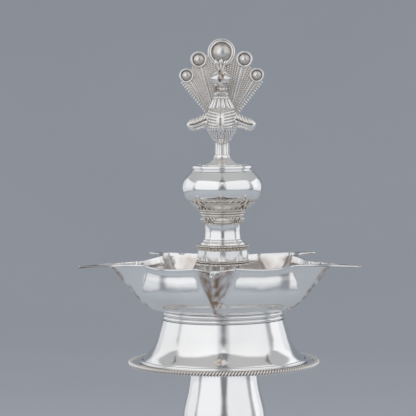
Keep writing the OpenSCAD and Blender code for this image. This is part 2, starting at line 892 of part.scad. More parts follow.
// Half width of the fan's lower edge, and its outer corner out and down from the lowest eye
fan_root_half_w = torso_w / 2;
fan_corner_shares = [0.7, 0.75];
fan_corner = [
    low_eye[0] + low_eye_r * fan_corner_shares[0],
    low_eye[1] - low_eye_r * fan_corner_shares[1]
];

// Puts a flat shape drawn in [sideways, height] upright, its back face at the level y
module upright(y, t) {
    translate([0, y, 0])
        rotate([90, 0, 0])
            linear_extrude(t)
                children();
}

// A disc or ring with its axis to the front, at a place on the fan
module on_fan(place, y) {
    translate([place[0], y, place[1]])
        rotate([90, 0, 0])
            children();
}

// Half width of the plate under the top eye, as a share of that eye
fan_crown_share = 0.7;
// The tab behind the torso that carries the fan: shares of the torso's width and height
fan_tab_shares = [0.6, 0.25];
module fan_outline() {
    // Under the top eye the plate ends inside that eye's disc
    crown = [top_eye_r * fan_crown_share, top_eye[1]];
    half = [[fan_root_half_w, fan_root_z], fan_corner, low_eye, side_eye, crown];
    polygon(concat(half, [for (i = [len(half) - 1 : -1 : 0]) [-half[i][0], half[i][1]]]));
    tab_w = torso_w * fan_tab_shares[0];
    tab_h = torso_h * fan_tab_shares[1];
    translate([-tab_w / 2, fan_root_z - tab_h])
        square([tab_w, tab_h + bead_d]);
}

module tail_fan() {
    color(chased_silver)
        upright(fan_back + fan_t, fan_t)
            fan_outline();
}

// A rib of round wire along the face of the fan, between two places on it
module rib(from, to, d) {
    run = to - from;
    translate([from[0], fan_back - d / 2, from[1]])
        rotate([0, atan2(run[0], run[1]), 0])
            cylinder(d = d, h = norm(run), $fn = 24);
}

// Where the outer and the inner rib start: shares [of the head's width, of the fan's height]
rib_start_shares = [[0.8, 0.06], [0.7, 0.22]];
rib_d_share = 0.7;
rib_gap_share = 0.25;
module tail_ribs() {
    d = bead_d * rib_d_share;
    gap = bead_d * rib_gap_share;
    ends = [
        [low_eye, low_eye_r],
        [side_eye, side_eye_r]
    ];
    color(silver)
        for (side = [-1, 1])
            for (i = [0 : len(ends) - 1]) {
                start = [head_w * rib_start_shares[i][0], fan_root_z + fan_h * rib_start_shares[i][1]];
                run = ends[i][0] - start;
                stop = start + run * (1 - (ends[i][1] + gap) / norm(run));
                rib([side * start[0], start[1]], [side * stop[0], stop[1]], d);
            }
}

// Beads along the two slanting edges of the fan, each a little smaller than its place
bead_fill_share = 0.96;
module tail_beading() {
    run = fan_corner - [fan_root_half_w, fan_root_z];
    along = unit(run);
    outward = [along[1], -along[0]];
    count = floor(norm(run) / bead_d);
    color(silver)
        for (side = [-1, 1])
            for (i = [0 : count - 1]) {
                place = [fan_root_half_w, fan_root_z]
                    + along * norm(run) * (2 * i + 1) / (2 * count)
                    + outward * bead_d / 2;
                translate([side * place[0], fan_back + bead_d / 2, place[1]])
                    sphere(d = bead_d * bead_fill_share, $fn = 20);
            }
}

// Outline shares [radius, height] of an eye: rolled rim, hollow, inner ring and middle
eye_shares = [
    [1, 0], [1, 0.7], [0.97, 0.92], [0.9, 1], [0.83, 0.92], [0.79, 0.62], [0.7, 0.5], [0.62, 0.66],
    [0.57, 0.8], [0.52, 0.66], [0.47, 0.5], [0, 0.5]
];
module eye_disc(r) {
    rotate_extrude($fn = 64)
        polygon(concat([[0, 0]], placed(eye_shares, 0, r, 0, eye_t)));
}

module feather_eyes() {
    color(silver)
        for (eye = eye_list)
            on_fan(eye[0], fan_back)
                eye_disc(eye[1]);
}

// A domed bead stands in the middle of each eye
eye_bead_share = 0.34;
module eye_beads() {
    floor_t = eye_t * eye_shares[len(eye_shares) - 1][1];
    color(silver)
        for (eye = eye_list)
            on_fan(eye[0], fan_back - floor_t)
                difference() {
                    sphere(r = eye[1] * eye_bead_share, $fn = 32);
                    translate([0, 0, -eye[1]])
                        cylinder(r = eye[1], h = eye[1]);
                }
}

base_plate();
base_dome();
base_rope();
base_collar();
base_bush();
stem_stud();
stem_foot();
stem_spindle();
stem_knop();
stem_vase();
stem_top_plate();
stem_bush();
tray_stud();
tray_plate();
tray_rope();
skirt_ring();
skirt();
skirt_top_plate();
skirt_bush();
bowl_stud();
collar_plate();
bowl_collar();
oil_bowl();
bowl_pillar();
pillar_top_plate();
pillar_bush();
drum_stud();
drum_lower_flange();
drum_shell();
drum_upper_flange();
neck_ring();
neck_tube();
knop_cone();
knop_bulb();
knop_cap();
cap_bush();
finial_stud();
finial_foot();
peacock_body();
peacock_head();
peacock_crest();
left_wing();
right_wing();
tail_fan();
tail_ribs();
tail_beading();
feather_eyes();
eye_beads();
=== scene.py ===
"""Looks of a standing oil lamp in polished silver, with five spouts and a peacock finial.

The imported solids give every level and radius. Each class below is one section of the lamp:
it puts finely modelled pieces on its solids and gives them their silver and brass finishes.
All lengths are in metres unless a name says otherwise.
"""

from __future__ import annotations

import logging
import math
from dataclasses import dataclass, field
from enum import Enum, IntEnum
from functools import lru_cache
from typing import Callable, Iterable, Sequence

import bmesh
import bpy
import numpy as np
from mathutils import Matrix, Vector, noise


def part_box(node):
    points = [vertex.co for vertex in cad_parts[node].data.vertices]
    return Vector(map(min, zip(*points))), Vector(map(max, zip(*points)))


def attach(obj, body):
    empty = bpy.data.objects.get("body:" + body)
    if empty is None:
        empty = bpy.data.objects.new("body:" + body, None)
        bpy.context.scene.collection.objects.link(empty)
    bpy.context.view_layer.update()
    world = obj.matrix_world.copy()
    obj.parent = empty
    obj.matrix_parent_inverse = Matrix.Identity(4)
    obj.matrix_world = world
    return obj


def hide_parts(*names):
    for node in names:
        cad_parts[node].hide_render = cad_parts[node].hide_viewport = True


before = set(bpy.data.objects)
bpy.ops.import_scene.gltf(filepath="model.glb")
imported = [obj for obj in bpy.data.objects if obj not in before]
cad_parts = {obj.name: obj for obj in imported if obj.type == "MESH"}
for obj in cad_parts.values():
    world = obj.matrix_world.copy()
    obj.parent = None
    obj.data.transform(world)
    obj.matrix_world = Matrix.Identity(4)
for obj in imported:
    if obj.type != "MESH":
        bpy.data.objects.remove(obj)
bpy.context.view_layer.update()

LOG = logging.getLogger("oil_lamp")

MM = 0.001
TAU = 2 * math.pi
# Points closer than this are one point
WELD = 1e-7
# Edges that turn by more than this keep a hard highlight
CREASE_DEG = 38.0
RAISED_CREASE_DEG = 50.0
CHASED_CREASE_DEG = 60.0
WIRE_CREASE_DEG = 70.0
CAST_CREASE_DEG = 80.0
# Steps round the axis of a slim turned piece and of a wide one
SLIM_STEPS = 160
WIDE_STEPS = 192
# Share of a casting's length over which each of its ends closes
CASTING_END = 0.03
# How often the marks of the hollows are evened out
HOLLOW_BLURS = 2
# Lengths squared below this are taken as this
NEARLY_ZERO = 1e-12

Point = tuple[float, float]
Outline = list[Point]
Colour = tuple[float, float, float, float]
Relief = Callable[[float, float, float], float]
Stain = Callable[[Vector, Vector], float]

# Sheet, studs and bushes are as thick as in the solids
SHEET_T = 0.9 * MM
STUD_R = 4.0 * MM
DRUM_STUD_R = 3.0 * MM
FINIAL_STUD_R = 2.4 * MM
BUSH_WALL = 2.2 * MM
SEAT_GAP = 0.05 * MM
THREAD_PITCH = 1.5 * MM


class Body(Enum):
    """The sections that move, each on its own thread."""

    BASE = "base"
    STEM = "stem"
    TRAY = "tray"
    BOWL = "bowl"
    CROWN = "crown"
    FINIAL = "finial"


class Eye(IntEnum):
    """The feather eyes of the fan, in the order in which they are listed."""

    TOP = 0
    RIGHT = 1
    LEFT = 2
    LOW_RIGHT = 3
    LOW_LEFT = 4


class Slot(Enum):
    """The finishes that a buyer could change."""

    POLISHED = "polished_silver"
    CHASED = "chased_silver"
    THREAD = "brass_thread"


# Finishes


class Recipe:
    """Builds the nodes of one material.

    Args:
        name: Name of the new material.
    """

    def __init__(self, name: str) -> None:
        """Starts an empty material with its shader and its output."""
        self.material = bpy.data.materials.new(name)
        self.material.use_nodes = True
        self.tree = self.material.node_tree
        self.tree.nodes.clear()
        self.shader = self.tree.nodes.new("ShaderNodeBsdfPrincipled")
        output = self.tree.nodes.new("ShaderNodeOutputMaterial")
        self.tree.links.new(self.shader.outputs["BSDF"], output.inputs["Surface"])
        self.place = self.tree.nodes.new("ShaderNodeTexCoord").outputs["Object"]

    def feed(self, socket: bpy.types.NodeSocket, value: object) -> None:
        """Gives a socket a plain value or joins it to another node's output.

        Args:
            socket: The input that is fed.
            value: A number, a colour, or an output to link from.
        """
        if isinstance(value, bpy.types.NodeSocket):
            self.tree.links.new(value, socket)
        else:
            socket.default_value = value

    def set(self, name: str, value: object) -> None:
        """Gives the shader's input of this name a plain value or another node's output."""
        self.feed(self.shader.inputs[name], value)

    def stretched(self, scale: Sequence[float]) -> bpy.types.NodeSocket:
        """Object coordinates stretched along each axis.

        Args:
            scale: Factor for x, y and z.

        Returns:
            The stretched coordinates.
        """
        node = self.tree.nodes.new("ShaderNodeMapping")
        node.inputs["Scale"].default_value = scale
        self.tree.links.new(self.place, node.inputs["Vector"])
        return node.outputs["Vector"]

    def clouds(
        self, scale: float, detail: float = 2.0, place: bpy.types.NodeSocket | None = None
    ) -> bpy.types.NodeSocket:
        """A noise between 0 and 1.

        Args:
            scale: Number of clouds per metre.
            detail: How many finer layers it has.
            place: Coordinates to use in place of the object's own.

        Returns:
            The noise.
        """
        node = self.tree.nodes.new("ShaderNodeTexNoise")
        node.inputs["Scale"].default_value = scale
        node.inputs["Detail"].default_value = detail
        self.tree.links.new(place or self.place, node.inputs["Vector"])
        return node.outputs["Fac"]

    def hollows(self) -> bpy.types.NodeSocket:
        """How deep in a hollow the surface lies, from 0 to 1, as written on the mesh."""
        node = self.tree.nodes.new("ShaderNodeAttribute")
        node.attribute_name = "hollow"
        return node.outputs["Fac"]

    def fit(
        self, value: object, start: float, end: float, low: float, high: float
    ) -> bpy.types.NodeSocket:
        """Maps a range of one value to another range and stops at its ends.

        Args:
            value: The value to map.
            start: Value that becomes low.
            end: Value that becomes high.
            low: Result at start.
            high: Result at end.

        Returns:
            The mapped value.
        """
        node = self.tree.nodes.new("ShaderNodeMapRange")
        self.feed(node.inputs["Value"], value)
        for name, number in zip(("From Min", "From Max", "To Min", "To Max"), (start, end, low, high)):
            node.inputs[name].default_value = number
        return node.outputs["Result"]

    def sum(self, operation: str, first: object, second: object = 0.0) -> bpy.types.NodeSocket:
        """One step of arithmetic.

        Args:
            operation: Name of the operation, such as ADD.
            first: First number.
            second: Second number.

        Returns:
            The result.
        """
        node = self.tree.nodes.new("ShaderNodeMath")
        node.operation = operation
        self.feed(node.inputs[0], first)
        self.feed(node.inputs[1], second)
        return node.outputs["Value"]

    def blend(self, share: object, first: Colour, second: Colour) -> bpy.types.NodeSocket:
        """A colour between two colours.

        Args:
            share: Share of the second colour.
            first: Colour at 0.
            second: Colour at 1.

        Returns:
            The blended colour.
        """
        node = self.tree.nodes.new("ShaderNodeMix")
        node.data_type = "RGBA"
        self.feed(node.inputs["Factor"], share)
        colours = [socket for socket in node.inputs if socket.type == "RGBA"]
        colours[0].default_value = first
        colours[1].default_value = second
        return next(socket for socket in node.outputs if socket.type == "RGBA")

    def raise_by(self, height: object, depth: float, under: object = None) -> bpy.types.NodeSocket:
        """A bump of the surface.

        Args:
            height: Height between 0 and 1.
            depth: Depth of the bump in metres.
            under: A bump that this one lies on.

        Returns:
            The turned normal.
        """
        node = self.tree.nodes.new("ShaderNodeBump")
        node.inputs["Distance"].default_value = depth
        self.feed(node.inputs["Height"], height)
        if under is not None:
            self.feed(node.inputs["Normal"], under)
        return node.outputs["Normal"]


@dataclass(frozen=True)
class Silver:
    """Silver with its polish, its hand-made unevenness and the tarnish left in hollows.

    A scale counts marks per metre, a depth is in metres, and a range gives the two levels of a
    noise between which its mark grows from nothing to full.
    """

    name: str
    slot: Slot
    bright: Colour
    tarnish: Colour
    roughness: float
    roughness_spread: float
    hollow_roughness: float
    film: float
    wave_depth: float
    scratch_depth: float
    hammer_depth: float = 0.0
    grain_depth: float = 0.0
    film_scale: float = 46.0
    film_range: Point = (0.46, 0.74)
    speck_scale: float = 900.0
    speck_range: Point = (0.62, 0.8)
    rub_scale: float = 170.0
    rub_range: Point = (0.3, 0.7)
    rub_flatness: float = 7.0
    wave_scale: float = 75.0
    hammer_scale: float = 220.0
    scratch_scale: float = 260.0
    scratch_flatness: float = 16.0
    grain_scale: float = 1500.0

    @lru_cache(maxsize=None)
    def material(self) -> bpy.types.Material:
        """The silver's material.

        Returns:
            One material for all pieces of this finish.
        """
        recipe = Recipe(self.name)
        hollow = recipe.hollows()
        clouds = recipe.clouds(self.film_scale, detail=5.0)
        film = recipe.fit(clouds, *self.film_range, 0.0, self.film)
        dots = recipe.clouds(self.speck_scale, detail=3.0)
        specks = recipe.fit(dots, *self.speck_range, 0.0, self.film)
        worn = recipe.sum("MAXIMUM", recipe.sum("MAXIMUM", film, specks), hollow)
        recipe.set("Base Color", recipe.blend(worn, self.bright, self.tarnish))

        rubbed = recipe.clouds(self.rub_scale, 6.0, recipe.stretched((1.0, 1.0, self.rub_flatness)))
        low = self.roughness - self.roughness_spread
        high = self.roughness + self.roughness_spread
        roughness = recipe.fit(rubbed, *self.rub_range, low, high)
        rougher = recipe.sum("MULTIPLY", hollow, self.hollow_roughness)
        recipe.set("Roughness", recipe.sum("ADD", roughness, rougher))

        normal = recipe.raise_by(recipe.clouds(self.wave_scale, detail=1.0), self.wave_depth)
        if self.hammer_depth:
            normal = recipe.raise_by(recipe.clouds(self.hammer_scale), self.hammer_depth, normal)
        along = recipe.stretched((1.0, 1.0, self.scratch_flatness))
        lines = recipe.clouds(self.scratch_scale, 4.0, along)
        normal = recipe.raise_by(lines, self.scratch_depth, normal)
        if self.grain_depth:
            normal = recipe.raise_by(recipe.clouds(self.grain_scale, detail=3.0), self.grain_depth, normal)
        recipe.set("Normal", normal)
        recipe.set("Metallic", 1.0)
        return recipe.material


@dataclass(frozen=True)
class Brass:
    """Turned brass with the turns of its thread and oil in the grooves."""

    name: str
    slot: Slot
    bright: Colour
    groove: Colour
    thread_depth: float
    ridge_range: Point = (0.04, 0.46)
    oil_darkness: float = 0.8
    stain: float = 0.5
    stain_scale: float = 320.0
    stain_range: Point = (0.4, 0.75)
    rub_scale: float = 700.0
    rub_range: Point = (0.3, 0.7)
    roughness_range: Point = (0.2, 0.34)

    @lru_cache(maxsize=None)
    def material(self) -> bpy.types.Material:
        """The brass material.

        Returns:
            One material for all studs and bushes.
        """
        recipe = Recipe(self.name)
        split = recipe.tree.nodes.new("ShaderNodeSeparateXYZ")
        recipe.feed(split.inputs[0], recipe.place)
        turn = recipe.sum("DIVIDE", recipe.sum("ARCTAN2", split.outputs["Y"], split.outputs["X"]), TAU)
        climb = recipe.sum("DIVIDE", split.outputs["Z"], THREAD_PITCH)
        height = recipe.sum("PINGPONG", recipe.sum("ADD", climb, turn), 0.5)
        ridge = recipe.fit(height, *self.ridge_range, 0.0, 1.0)
        clouds = recipe.clouds(self.stain_scale, detail=5.0)
        stain = recipe.fit(clouds, *self.stain_range, 0.0, self.stain)
        oil = recipe.fit(ridge, 0.0, 0.6, self.oil_darkness, 0.0)
        dark = recipe.sum("MAXIMUM", oil, stain)
        recipe.set("Base Color", recipe.blend(dark, self.bright, self.groove))
        roughness = recipe.fit(recipe.clouds(self.rub_scale), *self.rub_range, *self.roughness_range)
        recipe.set("Roughness", roughness)
        recipe.set("Normal", recipe.raise_by(ridge, self.thread_depth))
        recipe.set("Metallic", 1.0)
        return recipe.material


@dataclass(frozen=True)
class PaleFloor:
    """A matt paper sweep with a faint tooth."""

    name: str
    light: Colour
    shade: Colour
    roughness: float = 0.85
    specular: float = 0.2
    patch_scale: float = 3.0
    patch_range: Point = (0.35, 0.65)
    tooth_scale: float = 900.0
    tooth_depth: float = 0.04 * MM

    def material(self) -> bpy.types.Material:
        """The material of the floor and the backdrop.

        Returns:
            The new material.
        """
        recipe = Recipe(self.name)
        tone = recipe.fit(recipe.clouds(self.patch_scale), *self.patch_range, 0.0, 1.0)
        recipe.set("Base Color", recipe.blend(tone, self.light, self.shade))
        tooth = recipe.raise_by(recipe.clouds(self.tooth_scale, detail=4.0), self.tooth_depth)
        recipe.set("Normal", tooth)
        recipe.set("Roughness", self.roughness)
        recipe.set("Specular IOR Level", self.specular)
        return recipe.material


POLISHED = Silver(
    name="polished_silver",
    slot=Slot.POLISHED,
    bright=(0.93, 0.925, 0.915, 1.0),
    tarnish=(0.66, 0.61, 0.55, 1.0),
    roughness=0.11,
    roughness_spread=0.03,
    hollow_roughness=0.12,
    film=0.16,
    wave_depth=0.00003,
    scratch_depth=0.0000014,
)
RAISED = Silver(
    name="raised_silver",
    slot=Slot.POLISHED,
    bright=(0.92, 0.915, 0.905, 1.0),
    tarnish=(0.36, 0.235, 0.16, 1.0),
    roughness=0.12,
    roughness_spread=0.03,
    hollow_roughness=0.1,
    film=0.1,
    wave_depth=0.00007,
    scratch_depth=0.000003,
    hammer_depth=0.000012,
)
CHASED = Silver(
    name="chased_silver",
    slot=Slot.CHASED,
    bright=(0.92, 0.9, 0.87, 1.0),
    tarnish=(0.26, 0.185, 0.13, 1.0),
    roughness=0.2,
    roughness_spread=0.05,
    hollow_roughness=0.25,
    film=0.2,
    wave_depth=0.00004,
    scratch_depth=0.000003,
    grain_depth=0.00003,
)
CAST = Silver(
    name="cast_silver",
    slot=Slot.POLISHED,
    bright=(0.93, 0.915, 0.89, 1.0),
    tarnish=(0.25, 0.17, 0.115, 1.0),
    roughness=0.18,
    roughness_spread=0.05,
    hollow_roughness=0.22,
    film=0.18,
    wave_depth=0.00005,
    scratch_depth=0.000003,
    grain_depth=0.00002,
)
THREAD = Brass(
    name="turned_brass",
    slot=Slot.THREAD,
    bright=(0.83, 0.64, 0.33, 1.0),
    groove=(0.26, 0.16, 0.07, 1.0),
    thread_depth=0.0004,
)
PAPER = PaleFloor(
    name="paper_sweep",
    light=(0.61, 0.645, 0.7, 1.0),
    shade=(0.595, 0.63, 0.685, 1.0),
)
Finish = Silver | Brass


# Shapes


def mix(first: float, second: float, share: float) -> float:
    """A value between two values, by the second one's share."""
    return first + (second - first) * share


def ease(value: float, start: float, end: float) -> float:
    """A smooth step from 0 to 1.

    Args:
        value: Where to read the step.
        start: Value at which it leaves 0.
        end: Value at which it reaches 1.

    Returns:
        The step's height.
    """
    share = min(1.0, max(0.0, (value - start) / (end - start)))
    return share * share * (3 - 2 * share)


def within(value: float, low: float, high: float, soft: float) -> float:
    """1 inside a band and 0 outside it, with soft ends.

    Args:
        value: Where to read the band.
        low: Lower end of the band.
        high: Upper end of the band.
        soft: Length of each soft end.

    Returns:
        How much of the band is here.
    """
    return ease(value, low - soft, low + soft) * (1 - ease(value, high - soft, high + soft))


def bump(value: float, middle: float, width: float) -> float:
    """A soft bump of height 1.

    Args:
        value: Where to read the bump.
        middle: Where it is highest.
        width: How far from there it has fallen to about a third.

    Returns:
        The bump's height.
    """
    return math.exp(-(((value - middle) / width) ** 2))


def curve_through(points: Sequence[Sequence[float]], steps: int) -> list[tuple[float, ...]]:
    """A smooth curve through points of any dimension.

    Args:
        points: The points.
        steps: Number of steps between two of them.

    Returns:
        The points of the curve.
    """
    last = len(points) - 1
    curve = []
    for i in range(last):
        around = (points[max(0, i - 1)], points[i], points[i + 1], points[min(last, i + 2)])
        for step in range(steps):
            t = step / steps
            curve.append(
                tuple(
                    0.5 * (2 * b + (c - a) * t + (2 * a - 5 * b + 4 * c - d) * t * t
                           + (3 * b - a - 3 * c + d) * t * t * t)
                    for a, b, c, d in zip(*around)
                )
            )
    curve.append(tuple(points[last]))
    return curve


def placed(shares: Iterable[Sequence[float]], r0: float, r1: float, z0: float, z1: float) -> Outline:
    """An outline of shares [radius, height] set between two radii and two heights.

    Args:
        shares: The shares.
        r0: Radius at share 0.
        r1: Radius at share 1.
        z0: Height at share 0.
        z1: Height at share 1.

    Returns:
        The outline in metres.
    """
    return [(mix(r0, r1, share[0]), mix(z0, z1, share[1])) for share in shares]


def sheet(outer: Outline, thickness: float = SHEET_T) -> Outline:
    """A closed outline of a spun sheet, level at both ends.

    Args:
        outer: The outer face, from below upwards.
        thickness: Thickness of the sheet.

    Returns:
        The outer face and then the inner face, downwards.
    """
    inner = []
    last = len(outer) - 1
    for i, (r, z) in enumerate(outer):
        if i in (0, last):
            inner.append((r - thickness, z))
            continue
        run = Vector((outer[i + 1][0] - outer[i - 1][0], outer[i + 1][1] - outer[i - 1][1])).normalized()
        inner.append((r - run.y * thickness, z + run.x * thickness))
    return outer + inner[::-1]


def solid(outer: Outline, hole_r: float) -> Outline:
    """A closed outline of a turned solid with a round hole.

    Args:
        outer: The outer face, from below upwards.
        hole_r: Radius of the hole.

    Returns:
        The closed outline.
    """
    return outer + [(hole_r, outer[-1][1]), (hole_r, outer[0][1])]


def ring_of_wire(radius: float, wire_d: float, z: float, sides: int) -> Outline:
    """The round section of a wire ring.

    Args:
        radius: Radius over the ring.
        wire_d: Thickness of the wire.
        z: Height of the wire's middle.
        sides: Number of points round the wire.

    Returns:
        The closed outline.
    """
    half = wire_d / 2
    return [
        (radius - half + half * math.cos(TAU * i / sides), z + half * math.sin(TAU * i / sides))
        for i in range(sides)
    ]


def turn(outline: Outline, steps: int = SLIM_STEPS, closed: bool = True) -> bmesh.types.BMesh:
    """Turns an outline round the lamp's axis.

    Args:
        outline: Points (radius, height).
        steps: Number of steps round the axis.
        closed: Whether the outline runs back to its start.

    Returns:
        The turned shape.
    """
    bm = bmesh.new()
    points = [bm.verts.new((r, 0.0, z)) for r, z in outline]
    ends = points[1:] + points[:1] if closed else points[1:]
    edges = [bm.edges.new(pair) for pair in zip(points, ends)]
    bmesh.ops.spin(
        bm, geom=points + edges, axis=(0, 0, 1), cent=(0, 0, 0), angle=TAU, steps=steps, use_merge=True
    )
    bmesh.ops.remove_doubles(bm, verts=bm.verts, dist=WELD)
    return bm


def draped(rule: Callable[[float, float], Vector], across: int, along: int) -> bmesh.types.BMesh:
    """A grid laid along a surface, with its seams and poles closed.

    Args:
        rule: Gives the point for two shares from 0 to 1.
        across: Number of steps of the first share.
        along: Number of steps of the second share.

    Returns:
        The surface.
    """
    bm = bmesh.new()
    bmesh.ops.create_grid(bm, x_segments=across, y_segments=along, size=0.5)
    for vert in bm.verts:
        vert.co = rule(vert.co.x + 0.5, vert.co.y + 0.5)
    bmesh.ops.remove_doubles(bm, verts=bm.verts, dist=WELD)
    bmesh.ops.dissolve_degenerate(bm, edges=bm.edges, dist=WELD)
    return bm


def chase(bm: bmesh.types.BMesh, relief: Relief) -> None:
    """Raises and sinks a turned surface along its radius.

    Args:
        bm: The turned shape.
        relief: Height in metres for an angle, a radius and a level.
    """
    for vert in bm.verts:
        radius = math.hypot(vert.co.x, vert.co.y)
        if radius < WELD:
            continue
        height = relief(math.atan2(vert.co.y, vert.co.x), radius, vert.co.z)
        vert.co.x *= (radius + height) / radius
        vert.co.y *= (radius + height) / radius


def section_at(curve: Sequence[Sequence[float]], share: float) -> tuple[Sequence[float], float]:
    """The section of a casting that is closed at both ends.

    Args:
        curve: Its sections, in order.
        share: Share along it, from 0 to 1.

    Returns:
        The section, and how open the casting is there: 0 at its ends and 1 between them.
    """
    inside = min(1.0, max(0.0, (share - CASTING_END) / (1 - 2 * CASTING_END)))
    opened = min(1.0, share / CASTING_END, (1 - share) / CASTING_END)
    return curve[round(inside * (len(curve) - 1))], opened


def join_in(target: bmesh.types.BMesh, part: bmesh.types.BMesh) -> None:
    """Adds one mesh to another and frees it.

    Args:
        target: The mesh that grows.
        part: The mesh that is added.
    """
    mesh = bpy.data.meshes.new("joined")
    part.to_mesh(mesh)
    target.from_mesh(mesh)
    bpy.data.meshes.remove(mesh)
    part.free()


def mark_hollows(mesh: bpy.types.Mesh, depth: float, blurs: int, stain: Stain | None) -> None:
    """Writes on each point how deep in a hollow it lies, where dirt and tarnish stay.

    Args:
        mesh: The mesh to mark.
        depth: Radius of a hollow that counts as full, in metres.
        blurs: How often the marks are evened out.
        stain: Gives the least mark for a point and its normal, or None.
    """
    count = len(mesh.vertices)
    points = np.empty(count * 3)
    mesh.vertices.foreach_get("co", points)
    points = points.reshape(-1, 3)
    normals = np.empty(count * 3, dtype=np.float32)
    mesh.vertex_normals.foreach_get("vector", normals)
    normals = normals.reshape(-1, 3)
    ends = np.empty(len(mesh.edges) * 2, dtype=np.int32)
    mesh.edges.foreach_get("vertices", ends)
    first, second = ends.reshape(-1, 2).T
    run = points[second] - points[first]
    square = np.maximum((run ** 2).sum(axis=1), NEARLY_ZERO)
    bend = np.zeros(count)
    degree = np.zeros(count)
    np.add.at(bend, first, 2 * (run * normals[first]).sum(axis=1) / square)
    np.add.at(bend, second, -2 * (run * normals[second]).sum(axis=1) / square)
    np.add.at(degree, first, 1)
    np.add.at(degree, second, 1)
    hollow = np.clip(bend / np.maximum(degree, 1) * depth, 0.0, 1.0)
    for _ in range(blurs):
        total = hollow * degree
        np.add.at(total, first, hollow[second])
        np.add.at(total, second, hollow[first])
        hollow = total / np.maximum(2 * degree, 1)
    if stain:
        hollow = np.maximum(hollow, [stain(vert.co, vert.normal) for vert in mesh.vertices])
    layer = mesh.attributes.new("hollow", "FLOAT", "POINT")
    layer.data.foreach_set("value", hollow.astype(np.float32))


def sunk(relief: Relief, shallow: float, deep: float) -> Stain:
    """Tarnish where a relief is sunk.

    Args:
        relief: The relief.
        shallow: Depth at which the tarnish starts.
        deep: Depth at which it is full.

    Returns:
        The tarnish for a point and its normal.
    """

    def stain(place: Vector, normal: Vector) -> float:
        """Tarnish at a point of the relief."""
        height = relief(math.atan2(place.y, place.x), math.hypot(place.x, place.y), place.z)
        return ease(-height, shallow, deep)

    return stain


def make_piece(
    bm: bmesh.types.BMesh,
    name: str,
    body: Body,
    finish: Finish,
    nodes: Sequence[str],
    crease_deg: float = CREASE_DEG,
    hollow_depth: float = 0.0,
    stain: Stain | None = None,
) -> bpy.types.Object:
    """Makes the finished object of a shape and lets it stand for its solids.

    Args:
        bm: The shape, which is freed.
        name: Name of the piece.
        body: The section that it moves with.
        finish: Its metal.
        nodes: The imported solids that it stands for.
        crease_deg: Angle over which an edge stays sharp.
        hollow_depth: Radius of the hollows that hold tarnish, or 0 for none.
        stain: Gives the least tarnish for a point and its normal, or None.

    Returns:
        The new object.
    """
    bmesh.ops.recalc_face_normals(bm, faces=bm.faces)
    limit = math.radians(crease_deg)
    for face in bm.faces:
        face.smooth = True
    for edge in bm.edges:
        edge.smooth = len(edge.link_faces) != 2 or edge.calc_face_angle(0.0) < limit
    mesh = bpy.data.meshes.new(name)
    bm.to_mesh(mesh)
    bm.free()
    if hollow_depth or stain:
        mark_hollows(mesh, hollow_depth, HOLLOW_BLURS, stain)
    mesh.materials.append(finish.material())
    piece = bpy.data.objects.new(name, mesh)
    bpy.context.scene.collection.objects.link(piece)
    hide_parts(*nodes)
    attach(piece, body.value)
    LOG.info("%s: %d faces on %s", name, len(mesh.polygons), body.value)
    return piece


def turned_piece(outline: Outline, name: str, body: Body, node: str, steps: int = SLIM_STEPS) -> None:
    """Makes a plain polished piece that is turned from one outline.

    Args:
        outline: Its closed outline.
        name: Name of the piece.
        body: The section that it moves with.
        node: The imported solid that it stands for.
        steps: Number of steps round the axis.
    """
    make_piece(turn(outline, steps), name, body, POLISHED, [node])


def dress_solids(finish: Finish, *nodes: str) -> None:
    """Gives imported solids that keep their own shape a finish.

    Args:
        finish: Their metal.
        nodes: Names of the solids.
    """
    for node in nodes:
        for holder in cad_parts[node].material_slots:
            holder.material = finish.material()
        LOG.info("%s: own shape in %s", node, finish.name)


@dataclass(frozen=True)
class Span:
    """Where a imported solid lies: its lowest and highest level and its radius."""

    low: float
    high: float
    radius: float

    @classmethod
    def of(cls, node: str) -> "Span":
        """Reads the place of a solid that stands on the lamp's axis.

        Args:
            node: Name of the solid.

        Returns:
            Its span.
        """
        low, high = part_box(node)
        return cls(low[2], high[2], high[0])

    @property
    def height(self) -> float:
        """Height of the solid."""
        return self.high - self.low

    def outline(
        self,
        shares: Sequence[Sequence[float]],
        steps: int,
        start_r: float = 0.0,
        end_r: float | None = None,
    ) -> Outline:
        """A smooth outline over this solid's height, between two radii.

        Args:
            shares: Shares [radius, height].
            steps: Number of steps between two of them.
            start_r: Radius at share 0.
            end_r: Radius at share 1, or None for the solid's own radius.

        Returns:
            The outline.
        """
        reach = self.radius if end_r is None else end_r
        return curve_through(placed(shares, start_r, reach, self.low, self.high), steps)


